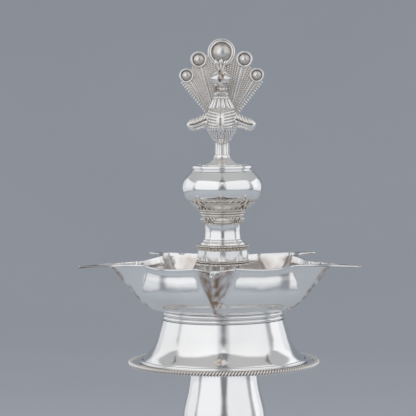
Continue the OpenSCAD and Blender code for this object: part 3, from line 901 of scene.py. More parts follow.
@dataclass(frozen=True)
class TwistedWire:
    """A wire of round strands twisted together and bent round an edge.

    The groove is the share of the wire's radius by which the strands part, and the tarnish range
    gives the two shares of that radius between which the tarnish in the grooves fades.
    """

    node: str
    turns: int
    strands: int = 2
    sides: int = 18
    steps_per_strand: int = 7
    groove: float = 0.5
    groove_form: float = 0.8
    tarnish_range: Point = (0.62, 0.9)

    def shape(self, span: Span) -> bmesh.types.BMesh:
        """The ring of twisted wire.

        Args:
            span: Place of the plain ring that it stands for.

        Returns:
            The twisted ring.
        """
        wire_d = span.height
        middle_z = span.low + wire_d / 2
        middle_r = span.radius - wire_d / 2
        steps = self.strands * self.turns * self.steps_per_strand
        bm = turn(ring_of_wire(span.radius, wire_d, middle_z, self.sides), steps)
        for vert in bm.verts:
            angle = math.atan2(vert.co.y, vert.co.x)
            radius = math.hypot(vert.co.x, vert.co.y)
            round_wire = math.atan2(vert.co.z - middle_z, radius - middle_r)
            lobe = abs(math.cos(0.5 * self.strands * (round_wire - self.turns * angle)))
            half = wire_d / 2 * (1 - self.groove * (1 - lobe) ** self.groove_form)
            radius = middle_r + half * math.cos(round_wire)
            level = middle_z + half * math.sin(round_wire)
            vert.co = (radius * math.cos(angle), radius * math.sin(angle), level)
        return bm

    def build(self, name: str, body: Body) -> None:
        """Builds the wire, with tarnish in its grooves.

        Args:
            name: Name of the piece.
            body: The section that it moves with.
        """
        span = Span.of(self.node)
        half = span.height / 2

        def stain(place: Vector, normal: Vector) -> float:
            """Tarnish at a point of the wire."""
            out = math.hypot(place.x, place.y) - span.radius + half
            near = math.hypot(out, place.z - span.low - half) / half
            return 1 - ease(near, *self.tarnish_range)

        make_piece(self.shape(span), name, body, CHASED, [self.node], WIRE_CREASE_DEG, stain=stain)


# Sections of the lamp


MOULDING_SHARES = (
    (0.93, 0.0), (0.98, 0.08), (1.0, 0.2), (1.0, 0.32), (0.98, 0.42), (0.92, 0.48), (0.92, 0.54),
    (0.96, 0.6), (0.98, 0.72), (0.97, 0.88), (0.92, 1.0),
)


def hole_for_bush(stud_r: float) -> float:
    """Radius of the hole that the bush of a stud sits in."""
    return stud_r + BUSH_WALL + SEAT_GAP


@dataclass
class Base:
    """The spun dome with its twisted foot wire and its moulded collar."""

    dome_shares: Sequence[Point] = (
        (1.0, 0.0), (1.0, 0.06), (0.988, 0.09), (0.933, 0.11), (0.903, 0.13), (0.893, 0.17),
        (0.843, 0.24), (0.722, 0.33), (0.562, 0.43), (0.421, 0.54), (0.321, 0.67), (0.271, 0.82),
        (0.263, 1.0),
    )
    edge: TwistedWire = TwistedWire("base_rope", turns=115)

    def build(self) -> None:
        """Builds the pieces of the base."""
        dome = sheet(Span.of("base_dome").outline(self.dome_shares, steps=6))
        turned_piece(dome, "dome", Body.BASE, "base_dome")
        self.edge.build("foot_wire", Body.BASE)
        collar = solid(Span.of("base_collar").outline(MOULDING_SHARES, steps=4), hole_for_bush(STUD_R))
        turned_piece(collar, "dome_collar", Body.BASE, "base_collar")
        dress_solids(RAISED, "base_plate")
        dress_solids(THREAD, "base_bush")


@dataclass
class Stem:
    """Foot moulding, slim spindle, ring knop and swelling vase."""

    spindle_shares: Sequence[Point] = (
        (1.0, 0.0), (0.96, 0.04), (0.7, 0.1), (0.4, 0.2), (0.14, 0.36), (0.0, 0.58), (0.06, 0.78),
        (0.3, 1.0),
    )
    spindle_r: float = 7.5 * MM
    knop_shares: Sequence[Point] = (
        (0.68, 0.0), (0.74, 0.04), (0.74, 0.11), (0.67, 0.16), (0.86, 0.24), (0.97, 0.36),
        (1.0, 0.5), (0.97, 0.64), (0.86, 0.76), (0.66, 0.84), (0.7, 0.88), (0.7, 0.95), (0.62, 1.0),
    )
    knop_bore_share: float = 0.42
    vase_shares: Sequence[Point] = (
        (0.38, 0.0), (0.36, 0.06), (0.405, 0.16), (0.51, 0.26), (0.645, 0.36), (0.785, 0.455),
        (0.905, 0.555), (0.985, 0.65), (1.0, 0.7), (0.976, 0.757), (0.925, 0.807), (0.866, 0.858),
        (0.82, 0.92), (0.797, 1.0),
    )

    def build(self) -> None:
        """Builds the pieces of the stem."""
        foot = solid(Span.of("stem_foot").outline(MOULDING_SHARES, steps=4), STUD_R + SEAT_GAP)
        turned_piece(foot, "stem_moulding", Body.STEM, "stem_foot")
        spindle = sheet(Span.of("stem_spindle").outline(self.spindle_shares, 6, self.spindle_r))
        turned_piece(spindle, "spindle", Body.STEM, "stem_spindle")
        span = Span.of("stem_knop")
        knop = solid(span.outline(self.knop_shares, steps=5), span.radius * self.knop_bore_share)
        turned_piece(knop, "ring_knop", Body.STEM, "stem_knop")
        vase = sheet(Span.of("stem_vase").outline(self.vase_shares, steps=8))
        turned_piece(vase, "vase", Body.STEM, "stem_vase", WIDE_STEPS)
        dress_solids(RAISED, "stem_top_plate")
        dress_solids(THREAD, "stem_bush", "stem_stud")


@dataclass
class Tray:
    """The flat tray with its twisted edge, and the flared skirt that stands on it."""

    edge: TwistedWire = TwistedWire("tray_rope", turns=94)
    plate_round: float = 0.2 * MM
    plate_rings: Sequence[float] = (0.95, 0.9, 0.8, 0.5)
    skirt_shares: Sequence[Point] = (
        (1.0, 0.0), (0.97, 0.06), (0.86, 0.13), (0.65, 0.237), (0.5, 0.33), (0.39, 0.42),
        (0.27, 0.56), (0.18, 0.71), (0.09, 0.85), (0.0, 1.0),
    )
    skirt_top_r: float = 30.9 * MM
    ring_sides: int = 20

    def plate(self) -> Outline:
        """The tray's flat disc with its edge a little rounded.

        Returns:
            The closed outline.
        """
        span = Span.of("tray_plate")
        r, soft = span.radius, self.plate_round
        edge = [(r - soft, span.low), (r, span.low + soft), (r, span.high - soft), (r - soft, span.high)]
        outer = edge + [(r * share, span.high) for share in self.plate_rings]
        return solid(outer, STUD_R + SEAT_GAP)

    def build(self) -> None:
        """Builds the pieces of the tray."""
        turned_piece(self.plate(), "tray_disc", Body.TRAY, "tray_plate", WIDE_STEPS)
        self.edge.build("tray_edge_wire", Body.TRAY)
        span = Span.of("skirt_ring")
        ring = ring_of_wire(span.radius, span.height, span.low + span.height / 2, self.ring_sides)
        turned_piece(ring, "skirt_foot_wire", Body.TRAY, "skirt_ring", WIDE_STEPS)
        skirt = sheet(Span.of("skirt").outline(self.skirt_shares, 8, self.skirt_top_r))
        turned_piece(skirt, "flared_skirt", Body.TRAY, "skirt", WIDE_STEPS)
        dress_solids(RAISED, "skirt_top_plate")
        dress_solids(THREAD, "skirt_bush", "tray_stud")


@dataclass(frozen=True)
class Level:
    """One ring of the bowl: its height, its wall, and how far its spouts reach.

    A lip is a ring along the open rim, where the spouts run out to their tips.
    """

    z: float
    wall_r: float
    keel_r: float
    sag: float
    lip: bool = False
    shrink: float = 1.0
    trim: float = 0.0


@dataclass
class Bowl:
    """The raised bowl with its five spouts, its beaded collar and the pillar inside it."""

    spout_count: int = 5
    front_angle: float = -math.pi / 2
    bowl_r: float = 44.0 * MM
    keel_reach: float = 57.6 * MM
    spout_reach: float = 73.4 * MM
    mouth_half_w: float = 11.0 * MM
    rim_sag: float = 1.0 * MM
    lip_drop: float = 0.7 * MM
    ridge_share: float = 0.25
    keel_inset: float = 1.53 * MM
    flange_w: float = 0.5 * MM
    lip_round: float = 0.22 * MM
    hand_wobble: float = 0.14 * MM
    wave_scale: float = 90.0
    fine_scale: float = 230.0
    lump_scale: float = 520.0
    keel_half_w: Point = (1.4 * MM, 3.2 * MM)
    keel_from: Point = (0.62, 0.78)
    patch_scale: float = 420.0
    film_scale: float = 110.0
    film: float = 0.16
    smoke: float = 0.42
    smoke_limit: float = 0.95
    smoke_half_mm: Point = (1.5, 9.5)
    smoke_from: Point = (0.66, 0.8)
    shares: Sequence[tuple[float, float, float]] = (
        (0.0, 0.693, 0.56), (0.035, 0.755, 0.612), (0.08, 0.812, 0.655), (0.14, 0.868, 0.693),
        (0.21, 0.916, 0.727), (0.3, 0.957, 0.767), (0.42, 0.982, 0.813), (0.56, 0.99, 0.862),
        (0.7, 0.991, 0.912), (0.82, 0.987, 0.95), (0.9, 0.99, 0.98), (0.96, 1.0, 1.0),
    )
    lip_shares: Sequence[Point] = (
        (1.0, 0.0), (0.985, 0.055), (0.97, 0.085), (0.7, 0.18), (0.45, 0.31), (0.22, 0.58),
    )
    middle_shares: Sequence[float] = (0.0, 0.35, 0.7, 0.95)
    columns: int = 60
    flank_columns: int = 12
    corner_blurs: int = 1
    keel_round: float = 0.3
    collar_beads: int = 2
    collar_bead_steps: int = 16
    collar_bead_share: float = 0.24
    pillar_shares: Sequence[Point] = (
        (1.0, 0.0), (1.0, 0.04), (0.5, 0.09), (0.1, 0.16), (0.0, 0.28), (0.0, 1.0),
    )
    pillar_r: float = 9.0 * MM
    floor_z: float = field(init=False)
    rim_z: float = field(init=False)

    def __post_init__(self) -> None:
        """Reads the levels of the bowl from its solid."""
        low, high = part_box("oil_bowl")
        self.floor_z = low[2]
        self.rim_z = high[2]

    def flank(self, level: Level) -> list[Point]:
        """One side of a spout, from its keel or tip to the round wall.

        Args:
            level: The ring that it belongs to.

        Returns:
            Points (distance along the spout, half width).
        """
        n = self.flank_columns
        if level.lip:
            half_w = self.mouth_half_w - level.trim
            root = math.sqrt(level.wall_r ** 2 - half_w ** 2)
            tip = self.spout_reach - 2 * level.trim
            places = [
                (mix(self.bowl_r, tip, s[0]), max(0.0, self.mouth_half_w * s[1] - level.trim * (s[1] > 0)))
                for s in self.lip_shares
            ]
            curve = curve_through(places + [(root, half_w)], steps=2)
            return curve[:n] + [(root, half_w)]
        out = max(0.0, level.keel_r - level.wall_r)
        half_w = self.mouth_half_w * mix(self.ridge_share, 1.0, out / (self.keel_reach - self.bowl_r))
        root = math.sqrt(level.wall_r ** 2 - half_w ** 2)
        soft = self.keel_round
        full = math.hypot(1.0, soft) - soft
        return [
            (mix(level.keel_r, root, (math.hypot(k / n, soft) - soft) / full), half_w * k / n)
            for k in range(n + 1)
        ]

    def ring(self, level: Level) -> list[Vector]:
        """All points of one ring round the bowl.

        Args:
            level: The ring.

        Returns:
            Its points, in order round the bowl.
        """
        side = self.flank(level)
        n = self.flank_columns
        step = TAU / self.spout_count
        edge = math.atan2(side[n][1], side[n][0])
        points = []
        for spout in range(self.spout_count):
            start = self.front_angle + spout * step
            for column in range(self.columns):
                if column <= n:
                    along, half_w = side[column]
                    turned, sag = start, 0.0
                elif column < self.columns - n:
                    share = (column - n) / (self.columns - 2 * n)
                    along, half_w = level.wall_r, 0.0
                    turned = start + mix(edge, step - edge, share)
                    sag = level.sag * math.sin(math.pi * share)
                else:
                    along, half_w = side[self.columns - column]
                    half_w = -half_w
                    turned, sag = start + step, 0.0
                past = max(0.0, math.hypot(along, half_w) - self.keel_reach)
                drop = self.lip_drop * past / (self.spout_reach - self.keel_reach)
                points.append(
                    Vector((
                        along * math.cos(turned) - half_w * math.sin(turned),
                        along * math.sin(turned) + half_w * math.cos(turned),
                        level.z - sag - drop,
                    ))
                )
        for _ in range(0 if level.lip else self.corner_blurs):
            count = len(points)
            points = [
                (points[i - 1] + 2 * points[i] + points[(i + 1) % count]) / 4 for i in range(count)
            ]
        middle = Vector((0.0, 0.0, level.z))
        return [self.worked(middle.lerp(point, level.shrink)) for point in points]

    def near_keel(self, point: Vector) -> float:
        """How near a point lies to the keel of a spout, from 0 to 1.

        Args:
            point: The point.

        Returns:
            1 on a keel and 0 away from all of them.
        """
        step = TAU / self.spout_count
        radius = math.hypot(point.x, point.y)
        off = (math.atan2(point.y, point.x) - self.front_angle + step / 2) % step - step / 2
        start, end = self.keel_from
        across = 1 - ease(abs(radius * math.sin(off)), *self.keel_half_w)
        return across * ease(radius, start * self.bowl_r, end * self.bowl_r)

    def wall_stain(self, point: Vector, normal: Vector) -> float:
        """Tarnish of the bowl: the seams of the keels, the smoked front spout and the oil's film.

        Args:
            point: The point.
            normal: The way that the surface faces there.

        Returns:
            The least tarnish there.
        """
        patch = noise.noise(Vector((point.x, point.y, point.z * 0.6)) * self.patch_scale)
        faces_up = normal.z > 0.1
        faces_axis = normal.x * point.x + normal.y * point.y < 0
        if faces_up or faces_axis:
            film = self.film + 0.5 * noise.noise(point * self.film_scale) + 0.2 * patch
            return max(0.0, film) * (1 - ease(point.z, self.rim_z - 3 * MM, self.rim_z))
        high = ease(point.z, self.floor_z + 9 * MM, self.rim_z - 6 * MM)
        seam = self.near_keel(point) * min(1.0, max(0.0, 0.25 + 0.5 * high + 1.1 * patch))
        wide = mix(*self.smoke_half_mm, ease(point.z, self.floor_z, self.rim_z)) * MM
        start, end = self.smoke_from
        front = 1 - ease(abs(point.x), 0.75 * wide, wide)
        front *= ease(-point.y, start * self.bowl_r, end * self.bowl_r)
        smoke = self.smoke + 0.8 * patch + 0.3 * ease(-point.x, 0.0, 2 * MM)
        return max(seam, front * max(0.0, min(self.smoke_limit, smoke)))

    def worked(self, point: Vector) -> Vector:
        """Moves a point as the hammer left it: a slow unevenness of the sheet.

        Args:
            point: The true point.

        Returns:
            The worked point, never further out or up than the true one.
        """
        flat = Vector((point.x, point.y, 0.0))
        if flat.length < WELD:
            return point
        wave = noise.noise(point * self.wave_scale)
        fine = noise.noise(Vector((point.x, point.y, point.z * 1.5)) * self.fine_scale)
        lump = noise.noise(point * self.lump_scale) * self.near_keel(point)
        inward = self.hand_wobble * (0.8 + 0.75 * wave + 0.2 * fine + 3.0 * lump)
        return point - flat.normalized() * max(0.0, inward)

    def levels(self) -> list[Level]:
        """The rings of the bowl, from the middle of its underside round to its floor.

        Returns:
            The rings in order.
        """
        outer = curve_through(self.shares, steps=4)
        flange_r = self.bowl_r + self.flange_w
        under_z = mix(self.floor_z, self.rim_z, self.shares[-1][0])
        inner_z = self.floor_z + SHEET_T
        first = Level(self.floor_z, self.bowl_r * outer[0][1], self.keel_reach * outer[0][2], 0.0)
        rings = [
            Level(first.z, first.wall_r, first.keel_r, 0.0, shrink=share) for share in self.middle_shares
        ]
        for z, wall, keel in outer:
            level_z, sag = mix(self.floor_z, self.rim_z, z), self.rim_sag * z * z
            rings.append(Level(level_z, self.bowl_r * wall, self.keel_reach * keel, sag))
        soft = self.lip_round
        for z, trim in (
            (under_z, soft), (under_z + soft * 0.4, soft * 0.3), (mix(under_z, self.rim_z, 0.5), 0.0),
            (self.rim_z - soft * 0.4, soft * 0.3), (self.rim_z, soft),
        ):
            rings.append(Level(z, flange_r - trim, 0.0, self.rim_sag, lip=True, trim=trim))
        inner = []
        for z, wall, keel in outer:
            wall_r = self.bowl_r * wall - SHEET_T
            keel_r = max(wall_r, self.keel_reach * keel - self.keel_inset)
            share = 1.0 if z == outer[-1][0] else z
            inner.append(Level(mix(inner_z, self.rim_z, share), wall_r, keel_r, self.rim_sag * share * share))
        rings += inner[::-1]
        rings += [
            Level(inner[0].z, inner[0].wall_r, inner[0].keel_r, 0.0, shrink=share)
            for share in reversed(self.middle_shares)
        ]
        return rings

    def vessel(self) -> bmesh.types.BMesh:
        """The bowl itself, one closed sheet.

        Returns:
            The bowl.
        """
        rings = [self.ring(level) for level in self.levels()]
        around = self.columns * self.spout_count
        last = len(rings) - 1

        def point(u: float, v: float) -> Vector:
            """The point of the bowl at a share round it and a share along its wall."""
            return rings[round(v * last)][round(u * around) % around]

        return draped(point, around, last)

    def collar(self) -> Outline:
        """Half-round beads, one above the other, over a plain ring.

        Returns:
            The closed outline.
        """
        span = Span.of("bowl_collar")
        bulge = span.height * self.collar_bead_share
        ring_r = span.radius - bulge
        beads = []
        for bead in range(self.collar_beads):
            # The lowest point of a bead is the highest one of the bead below it
            for i in range(min(bead, 1), self.collar_bead_steps + 1):
                angle = math.pi * i / self.collar_bead_steps - math.pi / 2
                share = (1 + 2 * bead + math.sin(angle)) / (2 * self.collar_beads)
                beads.append((ring_r + bulge * math.cos(angle), span.low + span.height * share))
        return solid(beads, ring_r - 2 * SHEET_T)

    def build(self) -> None:
        """Builds the pieces of the bowl."""
        make_piece(
            self.vessel(), "raised_bowl", Body.BOWL, RAISED, ["oil_bowl"],
            RAISED_CREASE_DEG, stain=self.wall_stain,
        )
        collar = turn(self.collar(), WIDE_STEPS)
        make_piece(
            collar, "beaded_collar", Body.BOWL, POLISHED, ["bowl_collar"],
            CHASED_CREASE_DEG, hollow_depth=0.5 * MM,
        )
        pillar = sheet(Span.of("bowl_pillar").outline(self.pillar_shares, 4, self.pillar_r))
        turned_piece(pillar, "pillar", Body.BOWL, "bowl_pillar")
        dress_solids(RAISED, "collar_plate", "pillar_top_plate")
        dress_solids(THREAD, "pillar_bush", "bowl_stud")


@dataclass
class Crown:
    """Drum with two engraved flanges, neck, ringed cone, knop and cap."""

    lower_shares: Sequence[Point] = (
        (0.94, 0.0), (0.985, 0.08), (1.0, 0.25), (0.99, 0.45), (0.955, 0.6), (0.96, 0.72),
        (0.95, 0.88), (0.92, 1.0),
    )
    upper_shares: Sequence[Point] = (
        (0.94, 0.0), (0.965, 0.08), (0.965, 0.2), (0.945, 0.28), (0.975, 0.45), (1.0, 0.7),
        (0.99, 0.9), (0.95, 1.0),
    )
    flange_bore: float = 5.5 * MM
    neck_r: float = 9.2 * MM
    ring_shares: Sequence[Point] = (
        (0.24, 0.0), (0.25, 0.1), (0.2, 0.3), (0.11, 0.48), (0.1, 0.62), (0.03, 0.76), (0.0, 1.0),
    )
    neck_shares: Sequence[Point] = ((0.0, 0.0), (0.6, 0.25), (1.0, 0.5), (0.6, 0.8), (0.0, 1.0))
    neck_waist: float = 0.97
    cone_shares: Sequence[Point] = (
        (0.0, 0.0), (0.04, 0.03), (0.05, 0.07), (0.1, 0.12), (0.17, 0.2), (0.19, 0.27), (0.17, 0.3),
        (0.23, 0.33), (0.25, 0.36), (0.22, 0.4), (0.3, 0.43), (0.33, 0.46), (0.3, 0.5), (0.42, 0.55),
        (0.47, 0.61), (0.54, 0.69), (0.67, 0.78), (0.82, 0.87), (0.94, 0.95), (1.0, 1.0),
    )
    cone_inner_shares: Sequence[Point] = ((1.0, 1.0), (0.5, 0.72), (0.31, 0.52), (0.15, 0.31), (0.0, 0.0))
    bulb_shares: Sequence[Point] = (
        (0.927, 0.0), (0.965, 0.12), (0.99, 0.25), (1.0, 0.4), (0.985, 0.55), (0.945, 0.7),
        (0.88, 0.82), (0.81, 0.93), (0.765, 1.0),
    )
    cap_shares: Sequence[Point] = (
        (1.0, 0.0), (1.03, 0.05), (1.04, 0.12), (1.03, 0.19), (0.975, 0.24), (0.955, 0.32),
        (0.975, 0.4), (0.995, 0.5), (1.0, 0.66), (0.995, 0.84), (0.98, 0.96), (0.95, 1.0),
        (0.92, 0.97),
    )
    cap_sink: float = 0.4 * MM
    drum_rings: int = 6
    flange_plain_share: float = 0.86
    flange_pits: Point = (0.15 * MM, 0.6 * MM)
    petals: int = 40
    petal_steps: int = 10
    petal_lean: float = 2.5
    leaf_band: Point = (0.1, 0.5)
    vein_band: Point = (0.15, 0.4)
    bead_band: Point = (0.66, 0.88)
    # The middle of one oval faces the camera
    facing: float = math.radians(-85.5)
    cone_steps: int = 420
    cone_pits: Point = (0.36 * MM, 0.75 * MM)
    oval_count: int = 4
    oval_bulge: float = 0.95
    oval_rim: float = 0.32
    # Each is (middle, half height, half angle), with the heights as shares of the cone's
    upper_oval: tuple[float, float, float] = (0.73, 0.135, math.radians(33))
    lower_oval: tuple[float, float, float] = (0.15, 0.105, math.radians(30))
    upper_band: Point = (0.56, 0.9)
    lower_band: Point = (0.03, 0.27)
    scallop_band: Point = (0.92, 0.985)
    leaf_waves: int = 17
    chased_hollow: float = 0.6 * MM

    def flange_relief(self, span: Span) -> Relief:
        """Little leaves along the lower half of a flange and beads along its upper half.

        Args:
            span: Place of the flange.

        Returns:
            The relief.
        """

        def relief(angle: float, radius: float, z: float) -> float:
            """Height of the chasing at a point of the flange."""
            if radius < span.radius * self.flange_plain_share:
                return 0.0
            level = (z - span.low) / span.height
            turned = 0.5 * self.petals * angle + self.petal_lean * level
            leaf = abs(math.cos(turned)) ** 0.7 * within(level, *self.leaf_band, 0.08)
            vein = bump(math.sin(turned), 0.0, 0.2) * within(level, *self.vein_band, 0.08)
            bead = abs(math.sin(0.7 * self.petals * angle)) ** 0.6 * within(level, *self.bead_band, 0.05)
            wear = noise.noise(Vector((math.cos(angle), math.sin(angle), level)) * 9.0)
            depth = -0.6 + 0.6 * leaf - 0.2 * vein + 0.55 * bead + 0.1 * wear
            return depth * MM * within(level, 0.05, 0.95, 0.05)

        return relief

    def cone_panel(self, off: float, level: float, oval: tuple[float, float, float]) -> float:
        """A smooth oval with a raised rim, and the leaves that fill the corners beside it.

        Args:
            off: Angle from the middle of the oval.
            level: Level on the cone, as a share of its height.
            oval: Place and size of the oval.

        Returns:
            Height of the chasing in millimetres.
        """
        middle, half_h, half_angle = oval
        rise = (level - middle) / half_h
        near = math.hypot(off / half_angle, rise)
        rim = bump(near, 1.0, 0.1)
        beside = ease(near, 1.05, 1.2)
        aside = math.pi / self.oval_count - abs(off)
        leaf = abs(math.sin(self.leaf_waves * aside + 1.4 * rise)) ** 0.7
        bulge = self.oval_bulge * max(0.0, 1 - near * near)
        return bulge + self.oval_rim * rim - (0.62 - 0.6 * leaf) * beside

    def cone_relief(self, span: Span) -> Relief:
        """Ovals among leaves on the two bands of the cone, and scallops along its upper border.

        Args:
            span: Place of the cone.

        Returns:
            The relief.
        """

        def relief(angle: float, radius: float, z: float) -> float:
            """Height of the chasing at a point of the cone."""
            level = (z - span.low) / span.height
            half = math.pi / self.oval_count
            off = (angle - self.facing + half) % (2 * half) - half
            upper = self.cone_panel(off, level, self.upper_oval) * within(level, *self.upper_band, 0.015)
            lower = self.cone_panel(off, level, self.lower_oval) * within(level, *self.lower_band, 0.015)
            height = upper + lower
            scallop = abs(math.sin(self.leaf_waves * angle)) ** 0.6
            scallop *= within(level, *self.scallop_band, 0.012)
            wear = noise.noise(Vector((math.cos(angle) * 7, math.sin(angle) * 7, level * 12)))
            return (height + 0.4 * scallop + 0.06 * wear - 0.34) * MM

        return relief

    def flange(self, node: str, name: str, shares: Sequence[Point], hole_r: float) -> None:
        """Builds one engraved flange.

        Args:
            node: The solid that it stands for.
            name: Name of the piece.
            shares: Its outline.
            hole_r: Radius of its hole.
        """
        span = Span.of(node)
        outline = solid(span.outline(shares, steps=5), hole_r)
        steps = self.petals * self.petal_steps
        self.chased(outline, steps, self.flange_relief(span), name, node, self.flange_pits)

    def chased(
        self, outline: Outline, steps: int, relief: Relief, name: str, node: str, pits: Point
    ) -> None:
        """Builds one turned and chased piece, with tarnish in the pits of its relief.

        Args:
            outline: Its closed outline.
            steps: Number of steps round the axis.
            relief: Its relief.
            name: Name of the piece.
            node: The solid that it stands for.
            pits: Depths at which the tarnish starts and is full.
        """
        bm = turn(outline, steps)
        chase(bm, relief)
        make_piece(
            bm, name, Body.CROWN, CHASED, [node], CHASED_CREASE_DEG, self.chased_hollow, sunk(relief, *pits)
        )

    def cone(self) -> None:
        """Builds the ringed cone under the knop."""
        span = Span.of("knop_cone")
        outer = span.outline(self.cone_shares, 5, self.neck_r)
        inner = placed(
            self.cone_inner_shares, self.neck_r - SHEET_T, span.radius - SHEET_T, span.low, span.high
        )
        relief = self.cone_relief(span)
        self.chased(outer + inner, self.cone_steps, relief, "ringed_cone", "knop_cone", self.cone_pits)

    def cap(self) -> Outline:
        """The cap with its rolled lip and its sunk flat top.

        Returns:
            The closed outline.
        """
        span = Span.of("knop_cap")
        radius = span.radius / max(share[0] for share in self.cap_shares)
        outer = span.outline(self.cap_shares, 4, 0.0, radius)
        floor_z = span.high - self.cap_sink
        hole_r = hole_for_bush(FINIAL_STUD_R)
        lip_r = outer[-1][0] - self.cap_sink
        return outer + [(lip_r, floor_z), (hole_r, floor_z), (hole_r, span.low)]

    def build(self) -> None:
        """Builds the pieces of the crown."""
        self.flange("drum_lower_flange", "lower_flange", self.lower_shares, DRUM_STUD_R + SEAT_GAP)
        span = Span.of("drum_shell")
        rings = self.drum_rings
        drum = [(span.radius, mix(span.low, span.high, i / rings)) for i in range(rings + 1)]
        turned_piece(sheet(drum), "drum", Body.CROWN, "drum_shell")
        self.flange("drum_upper_flange", "upper_flange", self.upper_shares, self.flange_bore)

        ring = Span.of("neck_ring").outline(self.ring_shares, 4, self.neck_r, 2 * self.neck_r)
        turned_piece(sheet(ring), "neck_moulding", Body.CROWN, "neck_ring")
        waist_r = self.neck_r * self.neck_waist
        neck = Span.of("neck_tube").outline(self.neck_shares, 4, self.neck_r, waist_r)
        turned_piece(sheet(neck), "neck", Body.CROWN, "neck_tube")

        self.cone()
        bulb = sheet(Span.of("knop_bulb").outline(self.bulb_shares, steps=6))
        turned_piece(bulb, "knop_shell", Body.CROWN, "knop_bulb", WIDE_STEPS)
        turned_piece(self.cap(), "cap", Body.CROWN, "knop_cap")
        dress_solids(THREAD, "cap_bush", "drum_stud")


@dataclass
class Finial:
    """The cast peacock: trumpet foot, torso, head, crest, wings and the fan with its eyes."""

    post_r: float = 3.8 * MM
    pin_share: float = 0.8
    foot_shares: Sequence[Point] = (
        (1.0, 0.0), (1.0, 0.12), (0.82, 0.2), (0.5, 0.34), (0.24, 0.54), (0.08, 0.78), (0.0, 1.0),
    )
    torso_w: float = 15.8 * MM
    torso_d: float = 15.6 * MM
    torso_h: float = 23.5 * MM
    torso_shares: Sequence[tuple[float, ...]] = (
        (0.0, 0.48, 0.487, 0.0), (0.23, 0.47, 0.475, 0.0), (0.29, 0.52, 0.54, 0.03),
        (0.39, 0.69, 0.7, 0.09), (0.51, 0.88, 0.88, 0.16), (0.61, 0.97, 0.97, 0.21),
        (0.75, 0.98, 0.96, 0.23), (0.89, 0.93, 0.82, 0.19), (1.0, 0.84, 0.58, 0.15),
    )
    head_w: float = 9.2 * MM
    head_h: float = 20.0 * MM
    head_shares: Sequence[tuple[float, ...]] = (
        (0.0, 1.37, 0.95, 0.25), (0.06, 1.24, 0.92, 0.29), (0.15, 1.04, 0.84, 0.36),
        (0.25, 0.83, 0.76, 0.46), (0.35, 0.72, 0.7, 0.55), (0.46, 0.74, 0.73, 0.64),
        (0.56, 0.84, 0.82, 0.72), (0.66, 0.98, 0.92, 0.79), (0.75, 1.08, 0.94, 0.82),
        (0.84, 0.9, 0.84, 0.8), (0.93, 0.56, 0.56, 0.75), (1.0, 0.22, 0.25, 0.7),
    )
    wing_span: float = 34.4 * MM
    wing_h: float = 8.46 * MM
    wing_foot_share: float = 0.48
    wing_shares: Sequence[tuple[float, ...]] = (
        (0.26, 0.62, 0.46, 0.1, 0.58), (0.4, 0.54, 0.42, 0.12, 0.66), (0.47, 0.48, 0.38, 0.14, 0.7),
        (0.6, 0.4, 0.32, 0.2, 0.6), (0.75, 0.385, 0.29, 0.26, 0.48), (0.88, 0.36, 0.25, 0.3, 0.44),
        (0.95, 0.24, 0.18, 0.32, 0.45), (1.0, 0.09, 0.08, 0.33, 0.46),
    )
    fan_w: float = 35.2 * MM
    fan_h: float = 29.5 * MM
    fan_t: float = 1.4 * MM
    fan_back: float = 2.0 * MM
    fan_bevel: float = 0.15 * MM
    fan_drop_share: float = 1.2
    tab_shares: Point = (0.3, 0.25)
    corner_shares: Point = (0.7, 0.75)
    side_eye: Point = (0.325, 0.88)
    low_eye: Point = (0.5, 0.61)
    eye_radii: tuple[float, float, float] = (6.88 * MM, 4.1 * MM, 3.6 * MM)
    eye_t: float = 1.3 * MM
    eye_rim: Sequence[Point] = (
        (1.0, 0.0), (1.0, 0.68), (0.975, 0.88), (0.91, 1.0), (0.82, 0.95), (0.75, 0.74),
    )
    top_eye_rim: Sequence[Point] = (
        (1.0, 0.0), (1.0, 0.62), (0.985, 0.82), (0.95, 0.95), (0.915, 0.9), (0.89, 0.76),
        (0.86, 0.88), (0.81, 1.0), (0.76, 0.94), (0.725, 0.7),
    )
    eye_pit: Sequence[Point] = ((0.7, 0.3), (0.66, 0.22), (0.63, 0.3), (0.4, 0.4), (0.0, 0.4))
    dome_share: float = 0.63
    dome_height: float = 0.4
    bead_d: float = 1.5 * MM
    barb_pitch: float = 1.35 * MM
    plate_margin: float = 0.8 * MM
    grain_rows: int = 34
    grain_spread_deg: float = 40.0
    grain_centre: float = 9.0 * MM
    grain_reach: float = 48 * MM
    grain_pitch: float = 1.1 * MM
    grain_mm: Point = (0.35, 0.62)
    # Each is (eye that it leads to, start sideways, start upwards, radius in millimetres)
    quills: Sequence[tuple[Eye, float, float, float]] = (
        (Eye.RIGHT, 0.53, 0.1, 0.62), (Eye.LOW_RIGHT, 0.8, 0.06, 0.42),
    )
    fine_quill_mm: float = 0.25
    # The beak in millimetres: half width and half height, root and reach as (forward, up or down)
    beak_half: Point = (1.3, 1.7)
    beak_root: Point = (4.2, 0.3)
    beak_reach: Point = (5.4, 2.6)
    beak_hook: float = 0.9
    beak_share: float = 0.7
    crest_tilts_deg: Sequence[float] = (-24.0, 0.0, 24.0)
    stalk_radii: Point = (0.6 * MM, 0.3 * MM)
    stalk_bead_share: float = 0.1
    flat_back_share: float = 0.6
    torso_hollow: float = 0.9 * MM
    head_hollow: float = 0.8 * MM
    eye_hollow: float = 0.6 * MM
    post_z: float = field(init=False)
    neck_z: float = field(init=False)
    fan_z: float = field(init=False)

    def __post_init__(self) -> None:
        """Reads the levels of the finial from its solids."""
        self.post_z = Span.of("finial_foot").high
        self.neck_z = self.post_z + self.torso_h
        self.fan_z = self.neck_z - self.fan_drop_share * self.bead_d

